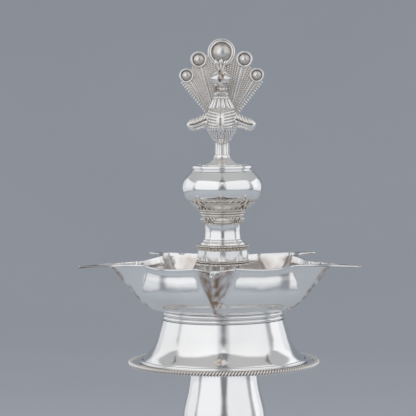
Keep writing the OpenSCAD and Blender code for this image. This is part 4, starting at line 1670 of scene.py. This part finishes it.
    def eyes(self) -> list[tuple[float, float, float]]:
        """The five feather eyes.

        Returns:
            For each one its sideways place, its height and its radius.
        """
        top_r, side_r, low_r = self.eye_radii
        side_x, side_z = self.fan_w * self.side_eye[0], self.fan_z + self.fan_h * self.side_eye[1]
        low_x, low_z = self.fan_w * self.low_eye[0], self.fan_z + self.fan_h * self.low_eye[1]
        return [
            (0.0, self.fan_z + self.fan_h, top_r),
            (side_x, side_z, side_r), (-side_x, side_z, side_r),
            (low_x, low_z, low_r), (-low_x, low_z, low_r),
        ]

    def slant(self) -> tuple[Vector, Vector]:
        """The fan's right slanting edge.

        Returns:
            Its foot beside the torso and its corner under the low eye, as (sideways, height).
        """
        x, z, r = self.eyes()[Eye.LOW_RIGHT]
        out, down = self.corner_shares
        return Vector((self.torso_w / 2, self.fan_z)), Vector((x + r * out, z - r * down))

    def lofted(
        self,
        sections: Sequence[Sequence[float]],
        carve: Callable[[float, float], float],
        around: int,
        along: int,
        flat_from: float,
    ) -> bmesh.types.BMesh:
        """A casting through oval sections, carved along their radius and closed at both ends.

        Args:
            sections: Each (share of height, height, half width, half depth, forward).
            carve: Height of the relief for a share of height and an angle from the front.
            around: Number of points round it.
            along: Number of rings.
            flat_from: Share of height from which the back is flat against the fan.

        Returns:
            The casting.
        """
        curve = curve_through(sections, steps=40)

        def point(u: float, v: float) -> Vector:
            """The point at a share round the casting and a share up it."""
            (share, z, half_w, half_d, forward), opened = section_at(curve, v)
            angle = TAU * u
            front = math.atan2(math.cos(angle), -math.sin(angle))
            depth = carve(share, front)
            x = (half_w + depth) * math.cos(angle) * opened
            y = (half_d + depth) * math.sin(angle) * opened - forward
            back = self.fan_back if share > flat_from else half_d
            return Vector((x, min(back, y), z))

        return draped(point, around, along)

    def torso_carving(self, share: float, front: float) -> float:
        """Feather ribs over the breast, small scales below them and a keel stripe in front.

        Args:
            share: Share of the torso's height.
            front: Angle from the front.

        Returns:
            Height of the relief.
        """
        turned = abs(front)
        ridges = bump(turned, 0.12, 0.06) * within(share, 0.36, 0.95, 0.02)
        lens = bump(turned, 0.0, 0.09) * within(share, 0.62, 0.8, 0.03)
        boss = (1 - ease(turned, 0.2, 0.3)) * within(share, 0.25, 0.34, 0.015)
        side = within(turned, 0.26, 1.8, 0.05)
        wave = abs(math.sin(math.pi * (share - 0.05 * turned) / 0.066)) ** 0.7
        ribs = wave * side * within(share, 0.6, 0.96, 0.02)
        row = (share - 0.3) / 0.068
        across = abs(math.sin(math.pi * (front * 4.6 + 0.5 * (math.floor(row) % 2))))
        scale = across * (1 - (row % 1.0)) ** 0.6 * within(share, 0.31, 0.6, 0.015)
        return (0.4 * ridges - 0.5 * lens + 0.55 * ribs + 0.8 * scale + 0.45 * boss - 0.5 * side) * MM

    def head_carving(self, share: float, front: float) -> float:
        """Long neck feathers under a collar, small feathers at the throat, cheeks and brows.

        Args:
            share: Share of the height of neck and head.
            front: Angle from the front.

        Returns:
            Height of the relief.
        """
        flutes = (0.75 * abs(math.sin(front * 7.0)) ** 0.7 - 0.55) * within(share, -1.0, 0.225, 0.015)
        dots = 0.35 * abs(math.sin(front * 6.0 + 1.5)) * within(share, 0.235, 0.285, 0.012)
        strip = 0.25 * within(share, 0.31, 0.385, 0.012)
        tufts = abs(math.sin(front * 3.0 + 0.7)) * abs(math.sin(math.pi * (share - 0.4) / 0.11))
        tufts = (0.8 * tufts - 0.4) * within(share, 0.4, 0.61, 0.012)
        cheek = (bump(front, -0.95, 0.3) + bump(front, 0.95, 0.3)) * bump(share, 0.74, 0.055)
        socket = (bump(front, -0.7, 0.22) + bump(front, 0.7, 0.22)) * bump(share, 0.85, 0.03)
        crease = bump(front, 0.0, 0.3) * within(share, 0.64, 0.9, 0.03)
        edge = bump(abs(front), 1.45, 0.12) * within(share, 0.62, 0.86, 0.03)
        height = flutes + dots + strip + tufts + 0.8 * cheek - 0.7 * socket - 0.45 * crease - 0.4 * edge
        return height * MM

    def head_stain(self, place: Vector, normal: Vector) -> float:
        """Dark tarnish round the beak, on the brow, under the chin and among the throat feathers.

        Args:
            place: The point.
            normal: The way that the surface faces there; not used.

        Returns:
            The least tarnish there.
        """
        share = (place.z - self.neck_z) / self.head_h
        if place.y > -3.0 * MM:
            return 0.0
        patch = noise.noise(place * 700.0)
        wide = mix(2.3, 0.9, ease(abs(share - 0.78), 0.0, 0.16)) * MM * (1 + 0.7 * patch)
        beak = (1 - ease(abs(place.x), 0.3 * wide, wide)) * within(share, 0.62, 0.97, 0.04)
        strip = 0.7 * within(share, 0.31, 0.385, 0.02) * (1 - ease(abs(place.x), 1.5 * MM, 3.0 * MM))
        throat = 0.75 * within(share, 0.4, 0.62, 0.03) * (0.4 + 1.6 * abs(patch))
        return max(0.0, min(1.0, max(beak, strip, throat) * (0.7 + 0.9 * patch)))

    def torso(self) -> bmesh.types.BMesh:
        """The torso with its post.

        Returns:
            The casting.
        """
        half_w, half_d = self.torso_w / 2, self.torso_d / 2
        sections = [
            (s[0], self.post_z + self.torso_h * s[0], half_w * s[1], half_d * s[2], half_d * s[3])
            for s in self.torso_shares
        ]
        return self.lofted(
            sections, self.torso_carving, around=220, along=180, flat_from=self.flat_back_share
        )

    def beak(self) -> bmesh.types.BMesh:
        """The short hooked beak.

        Returns:
            The beak.
        """
        bm = bmesh.new()
        bmesh.ops.create_uvsphere(bm, u_segments=24, v_segments=16, radius=1.0)
        half_w, half_h = self.beak_half
        forward, up = self.beak_root
        reach, fall = self.beak_reach
        for vert in bm.verts:
            tip = 0.5 * (1 + vert.co.z)
            slim = (1 - tip) ** 0.55
            hook = self.beak_hook * tip * tip
            vert.co = Vector((
                vert.co.x * half_w * slim,
                -forward - reach * tip,
                up + vert.co.y * half_h * slim - fall * tip - hook,
            )) * MM
            vert.co.z += self.neck_z + self.head_h * self.beak_share
        return bm

    def head(self) -> bmesh.types.BMesh:
        """Neck and head with the beak.

        Returns:
            The casting.
        """
        half_w = self.head_w / 2
        sections = [
            (s[0], self.neck_z + self.head_h * s[0], half_w * s[1], half_w * s[2], half_w * s[3])
            for s in self.head_shares
        ]
        bm = self.lofted(sections, self.head_carving, around=180, along=170, flat_from=-1.0)
        join_in(bm, self.beak())
        return bm

    def crest(self) -> bmesh.types.BMesh:
        """Feather stalks over the head, each with a pointed bead at its end.

        Returns:
            The crest.
        """
        bm = bmesh.new()
        root = Vector((0.0, -self.head_w * 0.37, self.neck_z + self.head_h * 0.86))
        length = self.head_w * 0.42 + self.head_h * 0.14
        low_r, high_r = self.stalk_radii
        bead_r = self.head_w * self.stalk_bead_share
        for tilt in self.crest_tilts_deg:
            stalk = bmesh.new()
            bmesh.ops.create_cone(
                stalk, cap_ends=True, segments=14, radius1=low_r, radius2=high_r, depth=length
            )
            bmesh.ops.translate(stalk, verts=stalk.verts, vec=(0, 0, length / 2))
            bead = bmesh.new()
            bmesh.ops.create_icosphere(bead, subdivisions=3, radius=bead_r)
            for vert in bead.verts:
                tip = ease(vert.co.z, 0.0, bead_r)
                vert.co = Vector((
                    vert.co.x * (1.15 - 0.9 * tip) + 0.5 * MM * tip,
                    vert.co.y * (0.7 - 0.5 * tip),
                    vert.co.z * 1.7 + length - self.head_w * 0.07,
                ))
            join_in(stalk, bead)
            for vert in stalk.verts:
                vert.co = Matrix.Rotation(math.radians(tilt), 3, "Y") @ vert.co + root
            join_in(bm, stalk)
        return bm

    def wing(self, side: int) -> bmesh.types.BMesh:
        """One half-spread wing with long feathers that curl at their ends.

        Args:
            side: 1 for the right wing and -1 for the left one.

        Returns:
            The wing.
        """
        wing_z = self.post_z + self.torso_h * self.wing_foot_share
        curve = curve_through(self.wing_shares, steps=30)

        def point(u: float, v: float) -> Vector:
            """The point at a share round the wing and a share out along it."""
            (out, half_h, half_d, forward, middle), opened = section_at(curve, v)
            angle = TAU * u
            lift = math.sin(angle)
            groove = bump(lift, 0.1, 0.13) * within(out, 0.44, 0.92, 0.03)
            barbs = abs(math.sin(math.pi * (out * 10.5 + lift * 1.1))) ** 0.7
            barbs *= within(lift, 0.22, 1.1, 0.06) * within(out, 0.3, 0.9, 0.03)
            seam = bump(lift, -0.45, 0.1) * within(out, 0.44, 0.8, 0.04)
            depth = (0.6 * barbs - 0.7 * groove - 0.3 * seam - 0.25) * MM
            height = (self.wing_h * half_h + depth * 0.5) * lift * opened
            reach = (self.wing_h * half_d + depth) * math.cos(angle) * opened
            y = min(self.fan_back, reach - self.wing_h * forward)
            x = self.wing_span / 2 * out
            return Vector((side * x, y, wing_z + self.wing_h * middle + height))

        return draped(point, across=120, along=150)

    def fan_outline(self) -> list[Point]:
        """The edge of the fan plate, with its tab behind the torso.

        Returns:
            Points (sideways, height), in order.
        """
        eyes = self.eyes()
        foot, corner = self.slant()
        tab_w, tab_h = self.torso_w * self.tab_shares[0], self.torso_h * self.tab_shares[1]
        top_x, top_z = eyes[Eye.TOP][2] * 0.7, eyes[Eye.TOP][1]
        half = [
            (tab_w, self.fan_z - tab_h), (tab_w, self.fan_z), tuple(foot), tuple(corner),
            eyes[Eye.LOW_RIGHT][:2], eyes[Eye.RIGHT][:2], (top_x, top_z),
        ]
        return half + [(-x, z) for x, z in reversed(half)]

    def fan_plate(self) -> bmesh.types.BMesh:
        """The plain plate of the fan.

        Returns:
            The plate.
        """
        bm = bmesh.new()
        front = self.fan_back
        face = bm.faces.new([bm.verts.new((x, front, z)) for x, z in self.fan_outline()])
        grown = bmesh.ops.extrude_face_region(bm, geom=[face])
        verts = [item for item in grown["geom"] if isinstance(item, bmesh.types.BMVert)]
        bmesh.ops.translate(bm, verts=verts, vec=(0, self.fan_t, 0))
        rims = [edge for edge in bm.edges if len(edge.link_faces) == 2]
        bmesh.ops.bevel(
            bm, geom=rims, offset=self.fan_bevel, segments=2, affect="EDGES", profile=0.5, material=-1
        )
        bmesh.ops.triangulate(bm, faces=[f for f in bm.faces if len(f.verts) > 4])
        return bm

    def grains(self, bm: bmesh.types.BMesh) -> None:
        """Adds rows of fine grains that run up the plate between its ribs.

        Args:
            bm: The mesh of the plate.
        """
        origin = Vector((0.0, self.fan_z - self.grain_centre))
        eyes = self.eyes()
        grain = bmesh.new()
        bmesh.ops.create_icosphere(grain, subdivisions=2, radius=1.0)
        points = [vert.co.copy() for vert in grain.verts]
        faces = [[vert.index for vert in face.verts] for face in grain.faces]
        grain.free()
        spread = math.radians(self.grain_spread_deg)
        for row in range(self.grain_rows):
            angle = mix(-spread, spread, (row + 0.5) / self.grain_rows)
            way = Vector((math.sin(angle), math.cos(angle)))
            distance = self.grain_centre + (row % 2) * self.grain_pitch / 2
            while distance < self.grain_reach:
                place = origin + way * distance
                distance += self.grain_pitch
                if not self.on_plate(place) or any(
                    math.hypot(place.x - x, place.y - z) < r * 1.02 for x, z, r in eyes
                ):
                    continue
                size = mix(*self.grain_mm, ease(distance, 10 * MM, 42 * MM)) * MM
                verts = [
                    bm.verts.new((
                        place.x + point.x * size,
                        self.fan_back + 0.1 * MM + point.y * size * 1.1,
                        place.y + point.z * size,
                    ))
                    for point in points
                ]
                for face in faces:
                    bm.faces.new([verts[i] for i in face])

    def plate_stain(self, place: Vector, normal: Vector) -> float:
        """Tarnish on the face of the plate, between the grains, and in patches on its back.

        Args:
            place: The point.
            normal: The way that the surface faces there; not used.

        Returns:
            The least tarnish there.
        """
        if place.y > self.fan_back + 0.2 * MM:
            return max(0.0, 0.15 + 0.4 * noise.noise(place * 160.0))
        return 0.5 * (1 - ease(self.fan_back - place.y, 0.02 * MM, 0.3 * MM))

    def dome_tarnish_and_painted_shade(self, place: Vector, normal: Vector) -> float:
        """Tarnish on the domes of the eyes, with painted shade that darkens all but their middles so that
        each keeps only a small highlight there.

        Args:
            place: The point.
            normal: The way that the surface faces there; not used.

        Returns:
            The least tarnish there.
        """
        share = min(math.hypot(place.x - x, place.z - z) / r for x, z, r in self.eyes())
        # Painted shade: darker towards the rim of each dome, so that its reflection shows a highlight only in
        # the middle
        return 0.45 * ease(share, 0.15, 0.45)

    def on_plate(self, place: Vector) -> bool:
        """Whether a place on the fan lies on its plate, a little inside the edge.

        Args:
            place: The place (sideways, height).

        Returns:
            True if it does.
        """
        eyes = self.eyes()
        top_z = eyes[Eye.TOP][1]
        side_x, side_z = eyes[Eye.RIGHT][:2]
        low_x, low_z = eyes[Eye.LOW_RIGHT][:2]
        foot, corner = self.slant()
        x, z = abs(place.x), place.y
        run = (corner - foot).normalized()
        inside_edge = (x - foot.x) * run.y - (z - foot.y) * run.x < -self.plate_margin
        edge_z = mix(top_z, side_z, min(1.0, x / side_x))
        if x > side_x:
            edge_z = mix(side_z, low_z, (x - side_x) / (low_x - side_x))
        return inside_edge and self.fan_z < z < edge_z and x < low_x

    def quill(self, start: Vector, end: Vector, radius: float) -> bmesh.types.BMesh:
        """A round quill between two points, slimmer at its start.

        Args:
            start: Its lower end.
            end: Its upper end.
            radius: Radius at its upper end.

        Returns:
            The quill.
        """
        run = end - start
        bm = bmesh.new()
        bmesh.ops.create_cone(
            bm, cap_ends=True, segments=14, radius1=radius * 0.6, radius2=radius, depth=run.length
        )
        turned = run.to_track_quat("Z", "Y").to_matrix()
        for vert in bm.verts:
            vert.co = turned @ vert.co + (start + end) / 2
        return bm

    def ribs(self) -> bmesh.types.BMesh:
        """The long quills of the fan: two main ones and fine ones beside them.

        Returns:
            The quills.
        """
        bm = bmesh.new()
        for eye, wide, high, main_mm in self.quills:
            x, z, r = self.eyes()[eye]
            start = Vector((self.head_w * wide, self.fan_z + self.fan_h * high))
            run = Vector((x, z)) - start
            stop = start + run * (1 - (r + 0.1 * MM) / run.length)
            across = Vector((run.y, -run.x)).normalized()
            for offset, radius in ((0.0, main_mm), (-1.0, self.fine_quill_mm), (1.0, self.fine_quill_mm)):
                first = start + across * offset * MM
                last = stop + across * offset * MM * 1.8
                y = self.fan_back - radius * 0.6 * MM
                for side in (-1, 1):
                    low, high = Vector((side * first.x, y, first.y)), Vector((side * last.x, y, last.y))
                    join_in(bm, self.quill(low, high, radius * MM))
        return bm

    def edge_barbs(self) -> bmesh.types.BMesh:
        """The beaded barbs along the two slanting edges of the fan.

        Returns:
            The barbs.
        """
        bm = bmesh.new()
        foot, corner = self.slant()
        run = corner - foot
        along = run.normalized()
        outward = Vector((along.y, -along.x))
        count = int(run.length / self.barb_pitch)
        y = self.fan_back + self.bead_d / 2
        for i in range(count):
            middle = foot + run * (i + 0.5) / count
            for side in (-1, 1):
                bead = bmesh.new()
                bmesh.ops.create_icosphere(bead, subdivisions=2, radius=1.0)
                for vert in bead.verts:
                    place = middle + outward * (0.35 + 0.95 * vert.co.x) * MM
                    place += along * (0.48 * vert.co.z - 0.2 * vert.co.x) * MM
                    vert.co = Vector((side * place.x, y + vert.co.y * 0.62 * MM - 0.35 * MM, place.y))
                join_in(bm, bead)
        return bm

    def eye_disc(self, radius: float, top: bool) -> bmesh.types.BMesh:
        """One feather eye: a rolled rim, a second ring and a deep hollow round its middle.

        Args:
            radius: Radius of the eye.
            top: Whether it is the large eye at the top, which has a wider rim.

        Returns:
            The disc, its axis along Z.
        """
        shares = (*(self.top_eye_rim if top else self.eye_rim), *self.eye_pit)
        outline = curve_through(placed(shares, 0.0, radius, 0.0, self.eye_t), steps=3)
        outline = [(max(0.0, r), z) for r, z in outline]
        return turn(outline + [(0.0, 0.0)], steps=72)

    def eye_dome(self, radius: float) -> bmesh.types.BMesh:
        """The low dome in the middle of a feather eye.

        Args:
            radius: Radius of the eye.

        Returns:
            The dome, its axis along Z.
        """
        bm = bmesh.new()
        dome_r = radius * self.dome_share
        bmesh.ops.create_uvsphere(bm, u_segments=40, v_segments=24, radius=1.0)
        for vert in bm.verts:
            level = max(0.0, vert.co.z) * dome_r * self.dome_height
            vert.co = Vector((vert.co.x * dome_r, vert.co.y * dome_r, level))
        bmesh.ops.remove_doubles(bm, verts=bm.verts, dist=WELD)
        return bm

    def set_on_fan(self, bm: bmesh.types.BMesh, x: float, z: float, y: float) -> bmesh.types.BMesh:
        """Turns a shape's axis to the front and puts it on the fan.

        Args:
            bm: The shape, its axis along Z.
            x: Sideways place.
            z: Height.
            y: Level of its back face.

        Returns:
            The same shape.
        """
        for vert in bm.verts:
            vert.co = Vector((vert.co.x + x, y - vert.co.z, vert.co.y + z))
        return bm

    def foot(self) -> Outline:
        """The trumpet foot, with the hole for its stud.

        Returns:
            The closed outline.
        """
        span = Span.of("finial_foot")
        hole_r = FINIAL_STUD_R + SEAT_GAP
        pin_z = mix(span.low, span.high, self.pin_share)
        inner = [(0.0, span.high), (0.0, pin_z), (hole_r, pin_z), (hole_r, span.low)]
        return span.outline(self.foot_shares, 5, self.post_r) + inner

    def build(self) -> None:
        """Builds the pieces of the finial."""
        plate = self.fan_plate()
        self.grains(plate)
        discs, domes = bmesh.new(), bmesh.new()
        for eye, (x, z, r) in zip(Eye, self.eyes()):
            join_in(discs, self.set_on_fan(self.eye_disc(r, eye is Eye.TOP), x, z, self.fan_back))
            # The dome stands on the floor of the disc's pit
            pit_y = self.fan_back - self.eye_t * self.eye_pit[-1][1]
            join_in(domes, self.set_on_fan(self.eye_dome(r), x, z, pit_y))
        plain, cast, soft = CREASE_DEG, CAST_CREASE_DEG, CHASED_CREASE_DEG
        for bm, name, node, finish, crease_deg, hollow_depth, stain in (
            (turn(self.foot()), "trumpet_foot", "finial_foot", CAST, plain, 0.0, None),
            (self.torso(), "torso", "peacock_body", CAST, cast, self.torso_hollow, None),
            (self.head(), "neck_and_head", "peacock_head", CAST, cast, self.head_hollow, self.head_stain),
            (self.crest(), "crest", "peacock_crest", CAST, cast, 0.0, None),
            (self.wing(-1), "wing_left", "left_wing", CAST, cast, self.torso_hollow, None),
            (self.wing(1), "wing_right", "right_wing", CAST, cast, self.torso_hollow, None),
            (plate, "fan_plate", "tail_fan", CHASED, plain, 0.0, self.plate_stain),
            (self.ribs(), "fan_quills", "tail_ribs", CAST, plain, 0.0, None),
            (self.edge_barbs(), "fan_edge", "tail_beading", CAST, plain, 0.0, None),
            (discs, "eye_discs", "feather_eyes", CAST, soft, self.eye_hollow, None),
            (domes, "eye_domes", "eye_beads", CAST, plain, 0.0, self.dome_tarnish_and_painted_shade),
        ):
            make_piece(bm, name, Body.FINIAL, finish, [node], crease_deg, hollow_depth, stain)
        dress_solids(THREAD, "finial_stud")


# Studio


@dataclass(frozen=True)
class Softbox:
    """One soft lamp that faces the middle of the oil lamp.

    The azimuth is 0 at the camera and positive to the right, the size is its width and height,
    and a radiance of 1 is white.
    """

    name: str
    azimuth_deg: float
    elevation_deg: float
    size: Point
    radiance: float
    distance: float = 1.0


@dataclass
class Studio:
    """The pale sweep, the soft lamps and the camera."""

    camera_distance: float = 1.3
    camera_azimuth_deg: float = 4.5
    camera_height: float = 0.362
    aim_left: float = 7.25 * MM
    aim_height: float = 0.2715
    view_width: float = 0.208
    roll_deg: float = -0.5
    sensor: float = 36.0
    floor_radii: Sequence[float] = (0.0, 0.2, 0.5, 1.0, 1.4)
    far_radii: Sequence[float] = (5.0, 8.0, 12.0)
    floor_steps: int = 180
    sweep_rings: int = 24
    sweep_pitch: float = 0.08
    sweep_start: float = 1.75
    sweep_depth: float = 1.6
    sweep_height: float = 1.5
    sweep_half_angle: float = math.radians(62)
    horizon: Colour = (0.41, 0.425, 0.45, 1.0)
    horizon_level: float = 0.3
    zenith: Colour = (0.5, 0.505, 0.51, 1.0)
    zenith_level: float = 0.9
    dim: Colour = (0.2, 0.21, 0.23, 1.0)
    dim_half_angles: Point = (math.radians(7), math.radians(14))
    edge_share: float = 0.12
    edge_level: float = 0.1
    lit_height: float = 0.24
    softboxes: Sequence[Softbox] = (
        Softbox("softbox_left", -46.0, 24.0, (1.74, 1.38), 0.52),
        Softbox("softbox_right", 46.0, 24.0, (1.74, 1.38), 0.45),
        Softbox("strip_left", -118.5, 10.0, (1.24, 0.8), 0.46),
        Softbox("strip_right", 118.5, 10.0, (0.9, 0.8), 0.56),
    )

    def camera(self) -> None:
        """Sets the camera at the photograph's distance and angle."""
        azimuth = math.radians(self.camera_azimuth_deg)
        across = Vector((math.cos(azimuth), math.sin(azimuth), 0.0))
        away = Vector((math.sin(azimuth), -math.cos(azimuth), 0.0))
        eye = away * self.camera_distance + Vector((0.0, 0.0, self.camera_height))
        aim = across * -self.aim_left + Vector((0.0, 0.0, self.aim_height))
        data = bpy.data.cameras.new("camera")
        data.sensor_fit = "HORIZONTAL"
        data.sensor_width = self.sensor
        data.lens = self.sensor * (aim - eye).length / self.view_width
        data.clip_end = 100.0
        camera = bpy.data.objects.new("camera", data)
        look = (aim - eye).to_track_quat("-Z", "Y").to_matrix().to_4x4()
        roll = Matrix.Rotation(math.radians(self.roll_deg), 4, "Z")
        camera.matrix_world = Matrix.Translation(eye) @ look @ roll
        bpy.context.scene.collection.objects.link(camera)
        bpy.context.scene.camera = camera
        LOG.info("camera: lens %.1f mm", data.lens)

    def floor(self) -> None:
        """Builds the floor, which sweeps up behind the lamp."""
        sweep = [self.sweep_start + self.sweep_pitch * i for i in range(self.sweep_rings)]
        radii = (*self.floor_radii, *sweep, *self.far_radii)
        bm = turn([(r, 0.0) for r in radii], self.floor_steps, closed=False)
        for vert in bm.verts:
            radius = math.hypot(vert.co.x, vert.co.y)
            turned = abs(math.atan2(vert.co.x, vert.co.y))
            share = min(1.0, max(0.0, (radius - self.sweep_start) / self.sweep_depth))
            behind = 1 - ease(turned, self.sweep_half_angle * 0.75, self.sweep_half_angle)
            vert.co.z = self.sweep_height * (1 - math.sqrt(1 - share * share)) * behind
        bmesh.ops.recalc_face_normals(bm, faces=bm.faces)
        mesh = bpy.data.meshes.new("floor")
        for face in bm.faces:
            face.smooth = True
            if face.normal.z < 0:
                face.normal_flip()
        bm.to_mesh(mesh)
        bm.free()
        mesh.materials.append(PAPER.material())
        floor = bpy.data.objects.new("floor", mesh)
        bpy.context.scene.collection.objects.link(floor)

    def soften(self, data: bpy.types.AreaLight) -> None:
        """Lets a softbox fade towards its edges.

        Args:
            data: The softbox's light.
        """
        data.use_nodes = True
        tree = data.node_tree
        emission = next(node for node in tree.nodes if node.type == "EMISSION")
        split = tree.nodes.new("ShaderNodeSeparateXYZ")
        join = tree.nodes.new("ShaderNodeMath")
        join.operation = "MULTIPLY"
        tree.links.new(tree.nodes.new("ShaderNodeNewGeometry").outputs["Parametric"], split.inputs[0])
        for axis, socket in zip("XY", join.inputs):
            fold = tree.nodes.new("ShaderNodeMath")
            fold.operation = "PINGPONG"
            fold.inputs[1].default_value = 0.5
            edge = tree.nodes.new("ShaderNodeMapRange")
            edge.interpolation_type = "SMOOTHSTEP"
            edge.inputs["From Max"].default_value = self.edge_share
            edge.inputs["To Min"].default_value = self.edge_level
            tree.links.new(split.outputs[axis], fold.inputs[0])
            tree.links.new(fold.outputs[0], edge.inputs["Value"])
            tree.links.new(edge.outputs["Result"], socket)
        tree.links.new(join.outputs[0], emission.inputs["Strength"])

    def set_up(self, box: Softbox) -> None:
        """Sets up one soft lamp.

        Args:
            box: The lamp.
        """
        data = bpy.data.lights.new(box.name, "AREA")
        data.shape = "RECTANGLE"
        data.size, data.size_y = box.size
        # A flat lamp of radiance L sends out L times pi times its area
        data.energy = box.radiance * math.pi * box.size[0] * box.size[1]
        self.soften(data)
        lamp = bpy.data.objects.new(box.name, data)
        azimuth = math.radians(self.camera_azimuth_deg + box.azimuth_deg)
        elevation = math.radians(box.elevation_deg)
        flat = math.cos(elevation)
        way = Vector((math.sin(azimuth) * flat, -math.cos(azimuth) * flat, math.sin(elevation)))
        lamp.location = Vector((0.0, 0.0, self.lit_height)) + way * box.distance
        lamp.rotation_euler = (-way).to_track_quat("-Z", "Y").to_euler()
        lamp.visible_camera = False
        bpy.context.scene.collection.objects.link(lamp)

    def world(self) -> None:
        """Sets an even pale world that is dim only behind the camera."""
        world = bpy.data.worlds.new("studio")
        world.use_nodes = True
        tree = world.node_tree
        tree.nodes.clear()
        way = tree.nodes.new("ShaderNodeTexCoord").outputs["Generated"]
        azimuth = math.radians(self.camera_azimuth_deg)
        for operation, second in (
            ("MULTIPLY", (1.0, 1.0, 0.0)),
            ("NORMALIZE", None),
            ("DOT_PRODUCT", (math.sin(azimuth), -math.cos(azimuth), 0.0)),
        ):
            step = tree.nodes.new("ShaderNodeVectorMath")
            step.operation = operation
            tree.links.new(way, step.inputs[0])
            if second:
                step.inputs[1].default_value = second
            way = step.outputs["Value" if operation == "DOT_PRODUCT" else "Vector"]
        behind = tree.nodes.new("ShaderNodeMapRange")
        behind.interpolation_type = "SMOOTHSTEP"
        near, far = self.dim_half_angles
        behind.inputs["From Min"].default_value = math.cos(far)
        behind.inputs["From Max"].default_value = math.cos(near)
        tree.links.new(way, behind.inputs["Value"])

        split = tree.nodes.new("ShaderNodeSeparateXYZ")
        tree.links.new(tree.nodes.new("ShaderNodeTexCoord").outputs["Generated"], split.inputs[0])
        ramp = tree.nodes.new("ShaderNodeValToRGB")
        tree.links.new(split.outputs["Z"], ramp.inputs["Fac"])
        stops = ramp.color_ramp.elements
        stops[0].position, stops[0].color = self.horizon_level, self.horizon
        stops[1].position, stops[1].color = self.zenith_level, self.zenith

        join = tree.nodes.new("ShaderNodeMix")
        join.data_type = "RGBA"
        colours = [socket for socket in join.inputs if socket.type == "RGBA"]
        tree.links.new(behind.outputs["Result"], join.inputs["Factor"])
        tree.links.new(ramp.outputs["Color"], colours[0])
        colours[1].default_value = self.dim
        background = tree.nodes.new("ShaderNodeBackground")
        output = tree.nodes.new("ShaderNodeOutputWorld")
        blended = next(socket for socket in join.outputs if socket.type == "RGBA")
        tree.links.new(blended, background.inputs["Color"])
        tree.links.new(background.outputs["Background"], output.inputs["Surface"])
        bpy.context.scene.world = world

    def build(self) -> None:
        """Builds the studio."""
        bpy.context.scene.view_settings.view_transform = "Standard"
        self.camera()
        self.floor()
        for box in self.softboxes:
            self.set_up(box)
        self.world()


def main() -> None:
    """Builds the studio and the sections of the lamp, from the base up."""
    logging.basicConfig(level=logging.INFO, format="%(name)s %(message)s")
    Studio().build()
    for section in (Base(), Stem(), Tray(), Bowl(), Crown(), Finial()):
        section.build()


if __name__ == "__main__":
    main()
